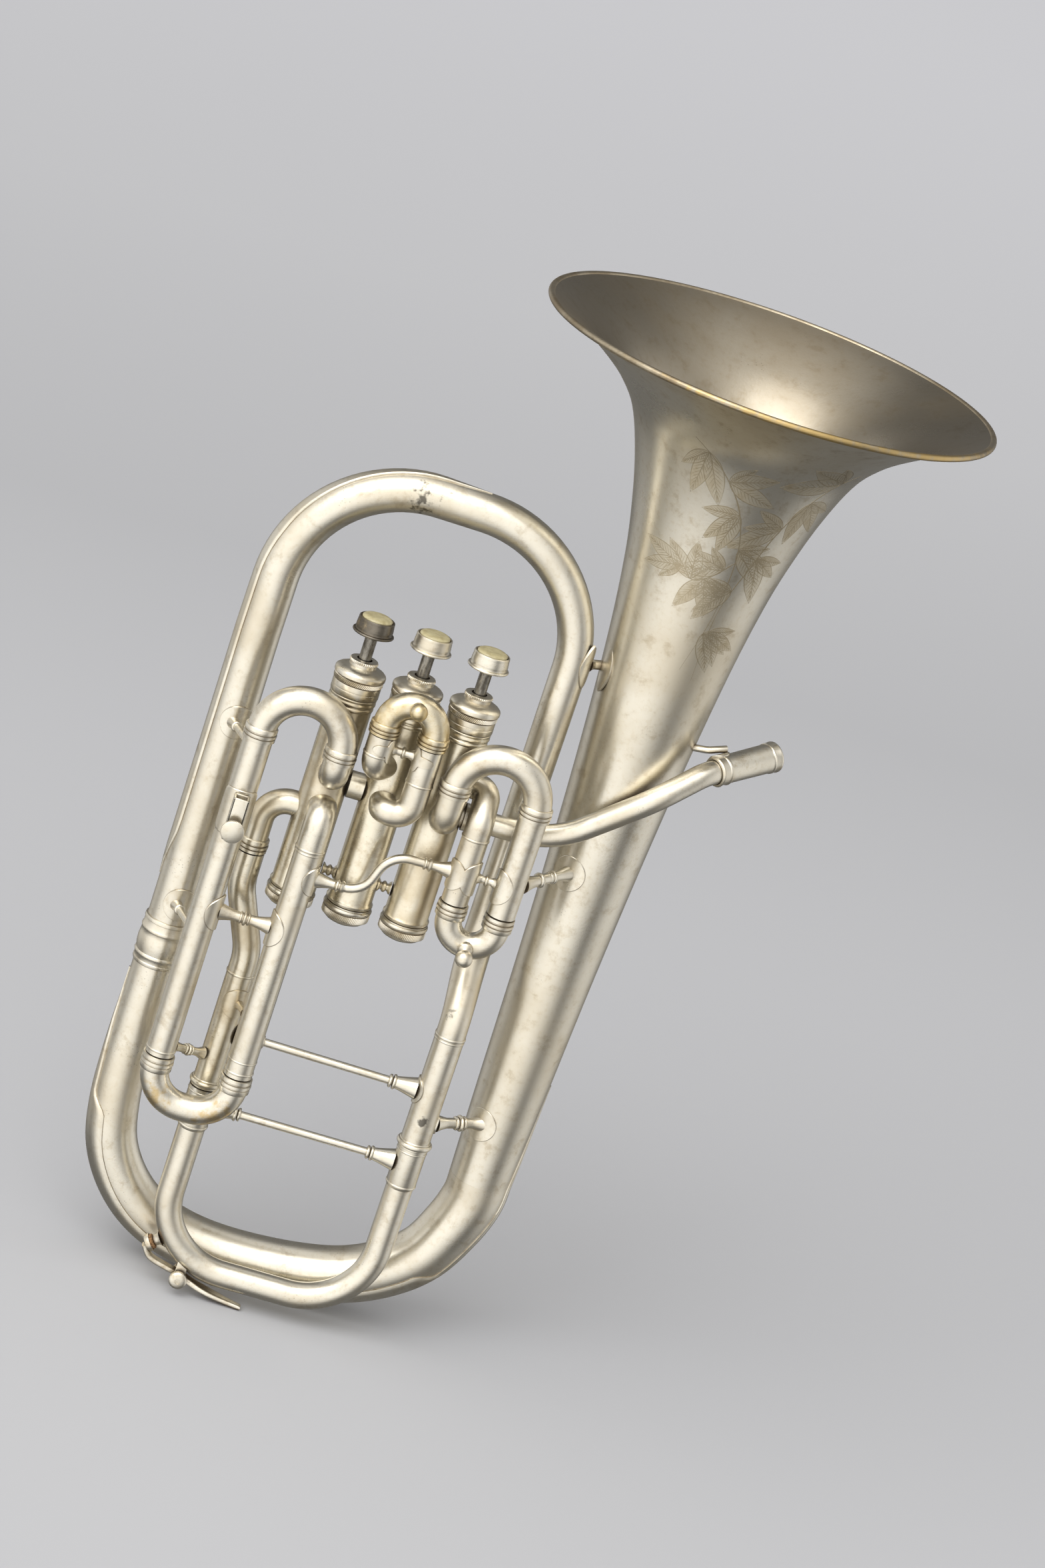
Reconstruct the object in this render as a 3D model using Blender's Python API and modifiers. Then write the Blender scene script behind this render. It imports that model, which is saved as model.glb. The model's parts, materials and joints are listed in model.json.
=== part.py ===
"""Small upright brass horn with three piston valves, modelled as its separate pieces.

+Z runs up along the valves, +X towards the bell's side, and +Y away from the valve slides.
The origin is on the ground under the middle of the horn. Sizes are in millimetres and
become metres in mm(), tube() and turned().
"""

import math

import bmesh
import bpy
from mathutils import Matrix, Vector

MM = 0.001
GAP = 0.3
# Moved at the end, so that the origin is on the ground under the middle of the whole horn
SETTLE = (0.842, 0.0, -1.101)
SIDES_TO_RESOLUTION = {4: 0, 6: 1, 8: 2, 10: 3, 12: 4, 14: 5, 16: 6}
BEND_STEP_DEG = 22.5

# Valves
VALVE_PITCH = 27.5
VALVE_1_X = -92.3
VALVE_X = tuple(VALVE_1_X + VALVE_PITCH * i for i in range(3))
VALVE_Y = -28.0
CASING_R = 10.45
CASING_BORE_R = 9.6
CASING_Z = (220.5, 319.3)
PISTON_R = 9.15
PISTON_Z = (238.0, 315.0)
STEM_R = 2.9
PORT_R = 5.4
# Heights of the knuckles between the casings, and of the ports that the exit and the leadpipe meet
KNUCKLE_Z = (276.5, 277.5)
EXIT_PORT_Z = 259.5
LEADPIPE_PORT_Z = 277.0
SPACER_Z = 232.6
BUTTON_Z = 349.0
TOP_CAP_Z = 319.6
BOTTOM_CAP_Z = 220.2

# Valve slides: leg positions in X, all in one plane in front of the valves
SLIDE_Y = -46.8
TUBE_R = 6.85
WALL = 0.6
LEG_R = 5.75
FERRULE_R = 7.75
FIRST_X = (-128.7, -90.8)
FIRST_CROWN_Z = 315.7
FIRST_MOUTH_Z = 128.6
FIRST_BOTTOM_Z = 104.6
FIRST_PORT_Z = (282.4, 264.7)
SECOND_X = (-75.0, -52.3)
SECOND_R = 6.35
SECOND_MOUTH_Z = 310.4
SECOND_TOP_Z = 328.0
SECOND_PORT_Z = (293.0, 275.3)
THIRD_X = (-36.0, -19.8, 2.7)
THIRD_CROWN_Z = 315.3
THIRD_MOUTH_Z = 242.5
THIRD_BOTTOM_Z = 223.3
THIRD_PORT_Z = (277.0, 294.5)

# Main tuning slide and the branches that feed it
TUNING_X = (-102.7, 1.0)
TUNING_Y = -25.0
TUNING_MOUTH_Z = 109.6
TUNING_BOTTOM_Z = 15.75
TUNING_BEND_R = 36.0
TUNING_R = 6.6
TUNING_LEG_R = 5.45
TUNING_RIGHT_R = 7.2

# Large branches
BRANCH_X = -141.3
BRANCH_R = 10.7
FERRULE_Z = (152.4, 176.7)
BRANCH_JOINT_Z = 164.5
LOOP_RIGHT_X = 0.6
LOOP_RIGHT_Y = -8.5
LOOP_TOP_Z = 413.3
BOW_BOTTOM_R = 12.9
GUARD_THICK = 1.2
GUARD_HALF_ANGLE_DEG = 66.0
BELL_BASE = Vector((39.4, 0.0, 92.0))
BELL_RIM = Vector((45.1, 0.0, 520.0))
BELL_WALL = 0.7
BELL_RIM_R = 107.5
RIM_BEAD_R = 1.7

PLATE = (0.60, 0.56, 0.47)
TARNISH = (0.42, 0.36, 0.27)


def clear_scene():
    for obj in list(bpy.data.objects):
        bpy.data.objects.remove(obj, do_unlink=True)


def mm(x, y, z):
    return Vector((x, y, z)) * MM


def new_collection(name):
    collection = bpy.data.collections.new(name)
    bpy.context.scene.collection.children.link(collection)
    return collection


def new_material(name, color, roughness, metallic):
    material = bpy.data.materials.new(name)
    material.use_nodes = True
    shader = material.node_tree.nodes["Principled BSDF"]
    shader.inputs["Base Color"].default_value = (*color, 1.0)
    shader.inputs["Roughness"].default_value = roughness
    shader.inputs["Metallic"].default_value = metallic
    return material


clear_scene()
HORN = new_collection("valve_horn")
CUTTERS = new_collection("cutters")
CUTTERS.hide_render = True


def add_piece(name, data, finish):
    """Puts a mesh or a curve in the scene as a named piece with a material of its own."""
    obj = bpy.data.objects.new(name, data)
    data.materials.append(new_material(name, *finish))
    HORN.objects.link(obj)
    return obj


SATIN_PLATE = (PLATE, 0.32, 1.0)
DARK_PLATE = (TARNISH, 0.42, 1.0)
STEEL = ((0.38, 0.37, 0.34), 0.4, 1.0)
PEARL = ((0.62, 0.60, 0.42), 0.25, 0.0)
CORK = ((0.40, 0.25, 0.11), 0.9, 0.0)


# ---- Paths -------------------------------------------------------------------------------


def bend(before, corner, after, radius, step_deg):
    """Points of the arc that rounds a corner off."""
    back = (before - corner).normalized()
    ahead = (after - corner).normalized()
    turn = math.pi - back.angle(ahead)
    reach = radius * math.tan(turn / 2)
    start = corner + back * reach
    middle = (back + ahead).normalized()
    centre = corner + middle * (radius / math.cos(turn / 2))
    axis = ahead.cross(back).normalized()
    steps = max(2, round(math.degrees(turn) / step_deg))
    arm = start - centre
    return [centre + Matrix.Rotation(turn * i / steps, 3, axis) @ arm for i in range(steps + 1)]


def rounded_path(corners, radii, step_deg=BEND_STEP_DEG):
    """Straight runs between corners, each inner corner rounded to its radius."""
    corners = [Vector(corner) for corner in corners]
    path = [corners[0]]
    for i, radius in enumerate(radii):
        path += bend(path[-1], corners[i + 1], corners[i + 2], radius, step_deg)
    return path + [corners[-1]]


def lengths_along(path):
    total = [0.0]
    for a, b in zip(path, path[1:]):
        total.append(total[-1] + (b - a).length)
    return total


def tapered(path, stations):
    """A radius for each point, from (fraction of the length, radius) stations."""
    along = lengths_along(path)
    radii = []
    for distance in along:
        share = distance / along[-1]
        for (f0, r0), (f1, r1) in zip(stations, stations[1:]):
            if share <= f1 or f1 == stations[-1][0]:
                t = min(1.0, (share - f0) / (f1 - f0))
                radii.append(r0 + (r1 - r0) * t)
                break
    return radii


# ---- Makers ------------------------------------------------------------------------------


def poly_curve(name, path, radii, sides):
    curve = bpy.data.curves.new(name, "CURVE")
    curve.dimensions = "3D"
    curve.bevel_depth = MM
    curve.bevel_resolution = SIDES_TO_RESOLUTION[sides]
    curve.twist_mode = "MINIMUM"
    spline = curve.splines.new("POLY")
    spline.points.add(len(path) - 1)
    for point, place, radius in zip(spline.points, path, radii):
        point.co = (*(Vector(place) * MM), 1.0)
        point.radius = radius
    return curve


def curve_to_mesh(curve, capped):
    """The mesh of a curve, with any caps welded on."""
    holder = bpy.data.objects.new("holder", curve)
    HORN.objects.link(holder)
    bpy.context.view_layer.update()
    graph = bpy.context.evaluated_depsgraph_get()
    mesh = bpy.data.meshes.new_from_object(holder.evaluated_get(graph))
    bpy.data.objects.remove(holder, do_unlink=True)
    if capped:
        bm = bmesh.new()
        bm.from_mesh(mesh)
        bmesh.ops.remove_doubles(bm, verts=bm.verts, dist=1e-6)
        bmesh.ops.recalc_face_normals(bm, faces=bm.faces)
        bm.to_mesh(mesh)
        bm.free()
    return mesh


def as_radii(path, radius):
    return radius if isinstance(radius, list) else [radius] * len(path)


def tube(name, path, radius, wall=WALL, sides=10, finish=SATIN_PLATE):
    """A hollow tube along a path. radius is one number or a list with one for each point."""
    curve = poly_curve(name, path, as_radii(path, radius), sides)
    obj = add_piece(name, curve, finish)
    shell = obj.modifiers.new("wall", "SOLIDIFY")
    shell.thickness = wall * MM
    shell.offset = -1.0
    return obj


def tube_mesh(name, path, radius, wall=WALL, sides=10, finish=SATIN_PLATE):
    """As tube(), but a mesh, which a Boolean can cut."""
    curve = poly_curve(name, path, as_radii(path, radius), sides)
    obj = add_piece(name, curve_to_mesh(curve, False), finish)
    shell = obj.modifiers.new("wall", "SOLIDIFY")
    shell.thickness = wall * MM
    shell.offset = -1.0
    return obj


def rod(name, path, radius, sides=8, finish=SATIN_PLATE):
    """A solid rod along a path."""
    curve = poly_curve(name, path, as_radii(path, radius), sides)
    curve.use_fill_caps = True
    return add_piece(name, curve_to_mesh(curve, True), finish)


def turned(name, profile, place, axis=(0, 0, 1), steps=14, finish=SATIN_PLATE):
    """A turned solid. The profile is (radius, height) pairs down the outer side, then up any bore.

    A profile that starts and ends on the axis is solid, and any other is closed into a ring."""
    bm = bmesh.new()
    corners = [bm.verts.new((r * MM, 0, h * MM)) for r, h in profile]
    for a, b in zip(corners, corners[1:]):
        bm.edges.new((a, b))
    if profile[0][0] > 0:
        bm.edges.new((corners[-1], corners[0]))
    mesh = bpy.data.meshes.new(name)
    bm.to_mesh(mesh)
    bm.free()
    obj = add_piece(name, mesh, finish)
    screw = obj.modifiers.new("turn", "SCREW")
    screw.steps = steps
    screw.render_steps = steps
    screw.use_merge_vertices = True
    screw.merge_threshold = 1e-6
    obj.location = mm(*place)
    obj.rotation_euler = Vector((0, 0, 1)).rotation_difference(Vector(axis)).to_euler()
    return obj


def cylinder_cutter(name, start, end, radius, sides=16):
    start, end = Vector(start) * MM, Vector(end) * MM
    bm = bmesh.new()
    bmesh.ops.create_cone(bm, cap_ends=True, segments=sides, radius1=radius * MM,
                          radius2=radius * MM, depth=(end - start).length)
    mesh = bpy.data.meshes.new(name)
    bm.to_mesh(mesh)
    bm.free()
    cutter = bpy.data.objects.new(name, mesh)
    cutter.location = (start + end) / 2
    cutter.rotation_euler = Vector((0, 0, 1)).rotation_difference(end - start).to_euler()
    return as_helper(cutter)


def rebase(obj, place):
    """Moves a mesh object's origin to a place, and leaves its shape where it is."""
    obj.data.transform(Matrix.Translation(-mm(*place)))
    obj.location = mm(*place)


def box_cutter(name, low, high):
    low, high = Vector(low) * MM, Vector(high) * MM
    bm = bmesh.new()
    bmesh.ops.create_cube(bm, size=1.0)
    bmesh.ops.scale(bm, vec=high - low, verts=bm.verts)
    mesh = bpy.data.meshes.new(name)
    bm.to_mesh(mesh)
    bm.free()
    cutter = bpy.data.objects.new(name, mesh)
    cutter.location = (low + high) / 2
    return as_helper(cutter)


def as_helper(obj):
    """Keeps an object out of the render, for use as a Boolean's operand."""
    for collection in list(obj.users_collection):
        collection.objects.unlink(obj)
    CUTTERS.objects.link(obj)
    obj.hide_render = True
    obj.display_type = "WIRE"
    return obj


def combine(obj, other, operation, solver="EXACT"):
    modifier = obj.modifiers.new(operation.lower(), "BOOLEAN")
    modifier.solver = solver
    modifier.operation = operation
    modifier.object = other


def bend_radius_of(x_pair):
    return (x_pair[1] - x_pair[0]) / 2


# ---- Bell and large branches -------------------------------------------------------------

# Outer radius of the bell at heights above its lower end
BELL_PROFILE = ((0, 15.0), (40, 16.6), (119, 19.4), (208, 24.0), (278, 29.5), (320, 34.8),
                (350, 41.2), (373, 48.2), (389, 55.2), (401, 65.0), (413, 80.5), (422, 96.0))


def make_bell():
    length = (BELL_RIM - BELL_BASE).length
    rim = BELL_RIM_R - RIM_BEAD_R
    bead = []
    for angle in (200, 240, 300, 0, 60, 120, 160):
        turn = math.radians(angle)
        bead.append((rim + RIM_BEAD_R * math.cos(turn), length - RIM_BEAD_R + RIM_BEAD_R * math.sin(turn)))
    outside = [(r, h) for h, r in BELL_PROFILE]
    inside = [(r - BELL_WALL, h + BELL_WALL * 0.3 * (h > 380)) for h, r in BELL_PROFILE]
    inside[0] = (inside[0][0], 0)
    # down the outer side from the rim, then up the bore to the bead again
    profile = bead[::-1] + outside[::-1] + inside
    turned("bell", profile, BELL_BASE, BELL_RIM - BELL_BASE, 28, DARK_PLATE)


# The bottom bow's centre line: (x, z), with the tube's outer radius at each point
BOW_LINE = ((-141.3, 164.2, 10.8), (-141.2, 98.0, 11.2), (-140.0, 78.2, 11.6), (-136.2, 58.5, 11.9),
            (-128.0, 42.7, 12.1), (-116.0, 29.9, 12.3), (-101.0, 21.3, 12.5), (-81.5, 16.4, 12.7),
            (-58.7, 15.2, BOW_BOTTOM_R), (-31.7, 17.1, 13.2), (-9.0, 22.0, 13.5),
            (10.0, 31.6, 13.7), (24.6, 45.0, 13.9), (34.0, 63.5, 14.4), (38.9, 79.5, 14.8),
            (39.3, 91.3, 15.0))


def bow_path():
    return [Vector((x, 0, z)) for x, z, _ in BOW_LINE]


def bow_radii():
    return [radius for _, _, radius in BOW_LINE]


def make_bottom_bow():
    tube("bottom_bow", bow_path(), bow_radii(), BELL_WALL, 14)


def make_bow_guard():
    """A curved plate that caps the outer side of the bow, made as a strip of its outline."""
    path = bow_path()
    radii = bow_radii()
    first, last = 2, len(path) - 2
    half_angle = math.radians(GUARD_HALF_ANGLE_DEG)
    bm = bmesh.new()
    rows = []
    for i in range(first, last + 1):
        ahead = (path[i + 1] - path[i - 1]).normalized()
        outward = Vector((-ahead.z, 0, ahead.x)) * -1
        sideways = Vector((0, 1, 0))
        row = []
        for j in range(-3, 4):
            turn = half_angle * j / 3
            arm = outward * math.cos(turn) + sideways * math.sin(turn)
            row.append(bm.verts.new((path[i] + arm * (radii[i] + GAP)) * MM))
        rows.append(row)
    for low, high in zip(rows, rows[1:]):
        for j in range(6):
            bm.faces.new((low[j], low[j + 1], high[j + 1], high[j]))
    bmesh.ops.recalc_face_normals(bm, faces=bm.faces)
    mesh = bpy.data.meshes.new("bottom_bow_guard")
    bm.to_mesh(mesh)
    bm.free()
    obj = add_piece("bottom_bow_guard", mesh, SATIN_PLATE)
    plate = obj.modifiers.new("plate", "SOLIDIFY")
    plate.thickness = (GUARD_THICK - GAP) * MM
    plate.offset = guard_side(mesh, path[first])


def guard_side(mesh, centre):
    """Solidify's offset that thickens the strip away from the tube."""
    face = mesh.polygons[0]
    return 1.0 if face.normal.dot(face.center - centre * MM) > 0 else -1.0


def make_bow_ferrule():
    low, high = FERRULE_Z
    bore = BRANCH_R + 0.55
    middle = (low + high) / 2
    profile = [(bore + 0.6, high), (bore + 0.7, high - 3), (bore + 1.2, middle + 2),
               (bore + 1.0, low + 5), (bore + 0.6, low), (bore, low), (bore, high)]
    turned("bow_ferrule", profile, (BRANCH_X, 0, 0))


def top_bow_path():
    corners = [(BRANCH_X, 0, BRANCH_JOINT_Z + GAP), (BRANCH_X, 0, 326.0),
               (BRANCH_X + 1.4, 0, LOOP_TOP_Z), (LOOP_RIGHT_X, LOOP_RIGHT_Y, LOOP_TOP_Z),
               (LOOP_RIGHT_X, LOOP_RIGHT_Y - 0.5, 200.0), (TUNING_X[1], TUNING_Y, 178.0),
               (TUNING_X[1], TUNING_Y, TUNING_MOUTH_Z)]
    return rounded_path(corners, [30.0, 61.0, 59.0, 24.0, 24.0], 15.0)


TOP_BOW_TAPER = ((0.0, BRANCH_R), (0.25, 10.3), (0.48, 9.3), (0.62, 8.35), (0.85, 7.9),
                 (0.9, TUNING_RIGHT_R), (1.0, TUNING_RIGHT_R))


def make_top_bow():
    path = top_bow_path()
    tube("top_bow", path, tapered(path, TOP_BOW_TAPER), WALL, 12)


def make_top_bow_guard():
    """A half-round strip along the outer side of the top bow, ending at the crown."""
    path = top_bow_path()
    radii = tapered(path, TOP_BOW_TAPER)
    strip = []
    for i, point in enumerate(path):
        if point.x > -72.0:
            break
        ahead = (path[i + 1] - path[max(i - 1, 0)]).normalized()
        outward = Vector((-ahead.z, 0, ahead.x)).normalized()
        strip.append(point + outward * (radii[i] + 1.5))
    strip[0] += Vector((0, 0, 16.0))
    strip.append(strip[-1] + Vector((12.0, -1.0, -0.2)))
    sizes = [0.5] + [1.15] * (len(strip) - 2) + [0.4]
    rod("top_bow_guard", strip, sizes)


# ---- Valves ------------------------------------------------------------------------------

# For each valve, where tubes enter it: (height, direction out of the casing)
FRONT = (0, -1, 0)
PORTS = (
    ((FIRST_PORT_Z[0], FRONT), (FIRST_PORT_Z[1], FRONT), (EXIT_PORT_Z, (-1, 0, 0)),
     (KNUCKLE_Z[0], (1, 0, 0))),
    ((SECOND_PORT_Z[0], (-0.45, -0.89, 0)), (SECOND_PORT_Z[1], FRONT),
     (KNUCKLE_Z[0], (-1, 0, 0)), (KNUCKLE_Z[1], (1, 0, 0))),
    ((THIRD_PORT_Z[0], FRONT), (THIRD_PORT_Z[1], (0.93, -0.37, 0)), (KNUCKLE_Z[1], (-1, 0, 0)),
     (LEADPIPE_PORT_Z, (1, 0, 0))),
)


def make_casing(index):
    x = VALVE_X[index]
    low, high = CASING_Z
    ring = CASING_R + 0.5
    profile = [(ring, high), (ring, high - 4), (CASING_R, high - 4.6), (CASING_R, low + 3.6),
               (ring, low + 3), (ring, low), (CASING_BORE_R, low), (CASING_BORE_R, high)]
    casing = turned(f"valve_casing_{index + 1}", profile, (x, VALVE_Y, 0), steps=16)
    axis = Vector((x, VALVE_Y, 0))
    for number, (z, direction) in enumerate(PORTS[index]):
        start = axis + Vector((0, 0, z))
        end = start + Vector(direction).normalized() * (CASING_R + 6)
        cutter = cylinder_cutter(f"port_{index + 1}_{number + 1}", start, end, PORT_R, 12)
        combine(casing, cutter, "DIFFERENCE")


def make_top_cap(index):
    z = TOP_CAP_Z
    profile = [(6.7, z + 17.0), (6.7, z + 13.8), (12.1, z + 10.9), (12.1, z + 8.2),
               (11.3, z + 7.2), (11.4, z), (9.7, z), (9.7, z + 9.0), (3.5, z + 12.0),
               (3.5, z + 17.0)]
    turned(f"valve_top_cap_{index + 1}", profile, (VALVE_X[index], VALVE_Y, 0))


def make_bottom_cap(index):
    z = BOTTOM_CAP_Z
    profile = [(0, z - 8.4), (9.0, z - 6.0), (9.6, z), (11.2, z), (11.6, z - 3.5),
               (10.9, z - 7.5), (0, z - 10.4)]
    turned(f"valve_bottom_cap_{index + 1}", profile, (VALVE_X[index], VALVE_Y, 0))


# Each piston's cross passages: (height, heading in degrees)
PASSAGES = ((EXIT_PORT_Z, 90.0), (LEADPIPE_PORT_Z, 0.0), (295.0, 60.0))


def make_piston(index):
    """The piston with its stem. Cross passages run through it at the port heights."""
    x = VALVE_X[index]
    low, high = PISTON_Z
    profile = [(0, BUTTON_Z - GAP), (STEM_R, BUTTON_Z - GAP), (STEM_R, high), (PISTON_R, high),
               (PISTON_R, low), (0, low)]
    piston = turned(f"piston_{index + 1}", profile, (x, VALVE_Y, 0), finish=STEEL)
    for number, (z, heading) in enumerate(PASSAGES):
        turn = math.radians(heading)
        reach = Vector((math.cos(turn), math.sin(turn), 0)) * (PISTON_R + 4)
        middle = Vector((x, VALVE_Y, z))
        name = f"passage_{index + 1}_{number + 1}"
        cutter = cylinder_cutter(name, middle - reach, middle + reach, PORT_R - 0.6, 12)
        combine(piston, cutter, "DIFFERENCE")


def make_button(index):
    z = BUTTON_Z
    profile = [(0, z + 5.6), (7.6, z + 5.6), (7.6, z + 7.9), (8.2, z + 7.9), (8.7, z + 4.0),
               (8.7, z + 2.0), (9.85, z + 1.4), (9.85, z + 0.4), (8.8, z), (0, z)]
    finish = DARK_PLATE if index == 0 else SATIN_PLATE
    turned(f"button_{index + 1}", profile, (VALVE_X[index], VALVE_Y, 0), finish=finish)


def make_pearl(index):
    z = BUTTON_Z + 5.6 + GAP
    profile = [(0, z + 3.4), (5.2, z + 3.1), (7.25, z + 1.9), (7.25, z), (0, z)]
    turned(f"pearl_{index + 1}", profile, (VALVE_X[index], VALVE_Y, 0), finish=PEARL)


def make_spring(index):
    """The coil spring under the piston, standing on the bottom cap's floor."""
    turns, per_turn, coil_r, wire_r = 3.0, 8, 7.2, 0.7
    low = BOTTOM_CAP_Z - 5.6 + wire_r
    high = PISTON_Z[0] - GAP - wire_r
    count = int(turns * per_turn)
    path = []
    for i in range(count + 1):
        turn = 2 * math.pi * i / per_turn
        path.append(Vector((VALVE_X[index] + coil_r * math.cos(turn),
                            VALVE_Y + coil_r * math.sin(turn), low + (high - low) * i / count)))
    rod(f"piston_spring_{index + 1}", path, wire_r, 4, STEEL)


def joined_neighbours():
    """Knuckles and turned spacers that tie the casings together, soldered to the middle one."""
    middle = bpy.data.objects["valve_casing_2"]
    reach = VALVE_PITCH - CASING_R - GAP
    for side, z in zip((-1, 1), KNUCKLE_Z):
        start = Vector((VALVE_X[1] + side * (CASING_BORE_R + 0.2), VALVE_Y, z))
        end = Vector((VALVE_X[1] + side * reach, VALVE_Y, z))
        knuckle = cylinder_cutter(f"knuckle_{side}", start, end, PORT_R + 1.1, 12)
        combine(middle, knuckle, "UNION")
        bore_start = Vector((VALVE_X[1] + side * 5, VALVE_Y, z))
        bore_end = end + Vector((side * 3, 0, 0))
        bore = cylinder_cutter(f"knuckle_bore_{side}", bore_start, bore_end, PORT_R - 0.2, 12)
        combine(middle, bore, "DIFFERENCE")
    for side in (-1, 1):
        start = Vector((VALVE_X[1] + side * (CASING_BORE_R + 0.2), VALVE_Y, SPACER_Z))
        end = Vector((VALVE_X[1] + side * (reach - 0.2), VALVE_Y, SPACER_Z))
        spacer = cylinder_cutter(f"spacer_{side}", start, end, 2.6, 8)
        combine(middle, spacer, "UNION")


def casing_saddle(index):
    """The cutter that shapes a tube's end to the casing it meets."""
    axis = Vector((VALVE_X[index], VALVE_Y, 0))
    name = f"saddle_{index + 1}"
    if name in bpy.data.objects:
        return bpy.data.objects[name]
    low, high = CASING_Z
    return cylinder_cutter(name, axis + Vector((0, 0, low)), axis + Vector((0, 0, high)),
                           CASING_R + GAP, 24)


def saddled(obj, index):
    combine(obj, casing_saddle(index), "DIFFERENCE")


# ---- Valve slides ------------------------------------------------------------------------


def make_first_sleeves():
    radius = bend_radius_of(FIRST_X)
    elbow = 8.0
    left, right = FIRST_X
    top = [(left, SLIDE_Y, FIRST_MOUTH_Z), (left, SLIDE_Y, FIRST_CROWN_Z),
           (right, SLIDE_Y, FIRST_CROWN_Z), (right, SLIDE_Y, FIRST_PORT_Z[0]),
           (right, VALVE_Y - 6, FIRST_PORT_Z[0])]
    path = rounded_path(top, [radius - 0.02, radius - 0.02, elbow])
    saddled(tube_mesh("first_slide_upper_branch", path, TUBE_R), 0)
    low = [(right, VALVE_Y - 6, FIRST_PORT_Z[1]), (right, SLIDE_Y, FIRST_PORT_Z[1]),
           (right, SLIDE_Y, FIRST_MOUTH_Z)]
    saddled(tube_mesh("first_slide_right_sleeve", rounded_path(low, [elbow]), TUBE_R), 0)


def make_second_sleeves():
    left, right = SECOND_X
    x = VALVE_X[1]
    path = rounded_path([(left, SLIDE_Y, SECOND_MOUTH_Z), (left, SLIDE_Y, SECOND_PORT_Z[0]),
                         (x - 3, VALVE_Y - 5, SECOND_PORT_Z[0])], [7.6])
    saddled(tube_mesh("second_slide_left_sleeve", path, SECOND_R), 1)
    z = SECOND_PORT_Z[1]
    path = rounded_path([(right, SLIDE_Y, SECOND_MOUTH_Z), (right, SLIDE_Y, z),
                         (x, SLIDE_Y, z), (x, VALVE_Y - 6, z)], [8.0, 4.4], 30.0)
    saddled(tube_mesh("second_slide_right_sleeve", path, [SECOND_R] * len(path)), 1)


def make_third_sleeves():
    left, middle, right = THIRD_X
    radius = (right - left) / 2 - 0.02
    path = rounded_path([(left, VALVE_Y - 6, THIRD_PORT_Z[0]), (left, SLIDE_Y, THIRD_PORT_Z[0]),
                         (left, SLIDE_Y, THIRD_CROWN_Z), (right, SLIDE_Y, THIRD_CROWN_Z),
                         (right, SLIDE_Y, THIRD_MOUTH_Z)], [8.0, radius, radius])
    saddled(tube_mesh("third_slide_upper_branch", path, TUBE_R), 2)
    z = THIRD_PORT_Z[1]
    path = rounded_path([(VALVE_X[2] + 4, VALVE_Y - 1.6, z), (middle, VALVE_Y - 7, z),
                         (middle, SLIDE_Y, z - 12), (middle, SLIDE_Y, THIRD_MOUTH_Z)], [7.0, 8.0])
    saddled(tube_mesh("third_slide_middle_sleeve", path, SECOND_R), 2)


def slide_radii(path, mouth_z, leg_r, crook_r, ferrule_r, ferrule):
    """Adds the ferrules to a slide's U-shaped path, and gives each point its radius."""
    sign = 1 if path[0].z > path[len(path) // 2].z else -1
    stations = ((0.3, leg_r), (1.3, ferrule_r), (ferrule, ferrule_r), (ferrule + 1.0, crook_r))
    first, last = path[0], path[-1]
    start, end = [(first, leg_r)], [(last, leg_r)]
    for depth, radius in stations:
        z = mouth_z - sign * depth
        start.append((Vector((first.x, first.y, z)), radius))
        end.append((Vector((last.x, last.y, z)), radius))
    inside = [(point, crook_r) for point in path[1:-1]]
    rows = start + inside + end[::-1]
    return [row[0] for row in rows], [row[1] for row in rows]


def make_slide(name, x_pair, y, mouth_z, turn_z, leg_z, leg_r, crook_r, ferrule_r, ferrule=6.8,
               bend_r=None, sides=10):
    """A U-shaped slide: inner legs, ferrules that butt on the sleeves, and the crook."""
    radius = bend_r or bend_radius_of(x_pair) - 0.02
    corners = [(x_pair[0], y, leg_z), (x_pair[0], y, turn_z), (x_pair[1], y, turn_z),
               (x_pair[1], y, leg_z)]
    path = rounded_path(corners, [radius, radius])
    path, radii = slide_radii(path, mouth_z, leg_r, crook_r, ferrule_r, ferrule)
    slide = tube_mesh(name, path, radii, 0.5, sides)
    rebase(slide, corners[0])
    return slide


def add_knob(slide, place, axis):
    """A ball on a short neck, used to pull a slide, soldered to the slide's crook."""
    profile = [(0, 9.6), (2.4, 8.9), (3.9, 6.4), (3.2, 3.9), (1.9, 2.8), (3.6, 0.4), (2.3, -1.9),
               (0, -1.9)]
    knob = turned(slide.name + "_knob", profile, place, axis, 10)
    # EXACT drops most of the crook where the knob's foot runs through its thin wall
    combine(slide, as_helper(knob), "UNION", "MANIFOLD")


def make_slides():
    make_slide("first_slide", FIRST_X, SLIDE_Y, FIRST_MOUTH_Z, FIRST_BOTTOM_Z, FIRST_MOUTH_Z + 55,
               LEG_R, TUBE_R, FERRULE_R, 5.6, 17.0)
    second = make_slide("second_slide", SECOND_X, SLIDE_Y, SECOND_MOUTH_Z, SECOND_TOP_Z,
                        SECOND_MOUTH_Z - 8.6, LEG_R - 0.5, SECOND_R, FERRULE_R - 0.5, 4.6)
    third = make_slide("third_slide", THIRD_X[1:], SLIDE_Y, THIRD_MOUTH_Z, THIRD_BOTTOM_Z,
                       THIRD_MOUTH_Z + 30, LEG_R - 0.5, SECOND_R, FERRULE_R - 0.2, 6.3)
    make_slide("tuning_slide", TUNING_X, TUNING_Y, TUNING_MOUTH_Z, TUNING_BOTTOM_Z,
               TUNING_MOUTH_Z + 50, TUNING_LEG_R, TUNING_R, TUNING_R, 4.0, TUNING_BEND_R)
    add_knob(second, (-63.6, SLIDE_Y - SECOND_R + 0.4, SECOND_TOP_Z), (0, -1, 0.2))
    add_knob(third, (-8.5, SLIDE_Y - SECOND_R + 0.4, THIRD_BOTTOM_Z), (0, -1, -0.3))


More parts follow.
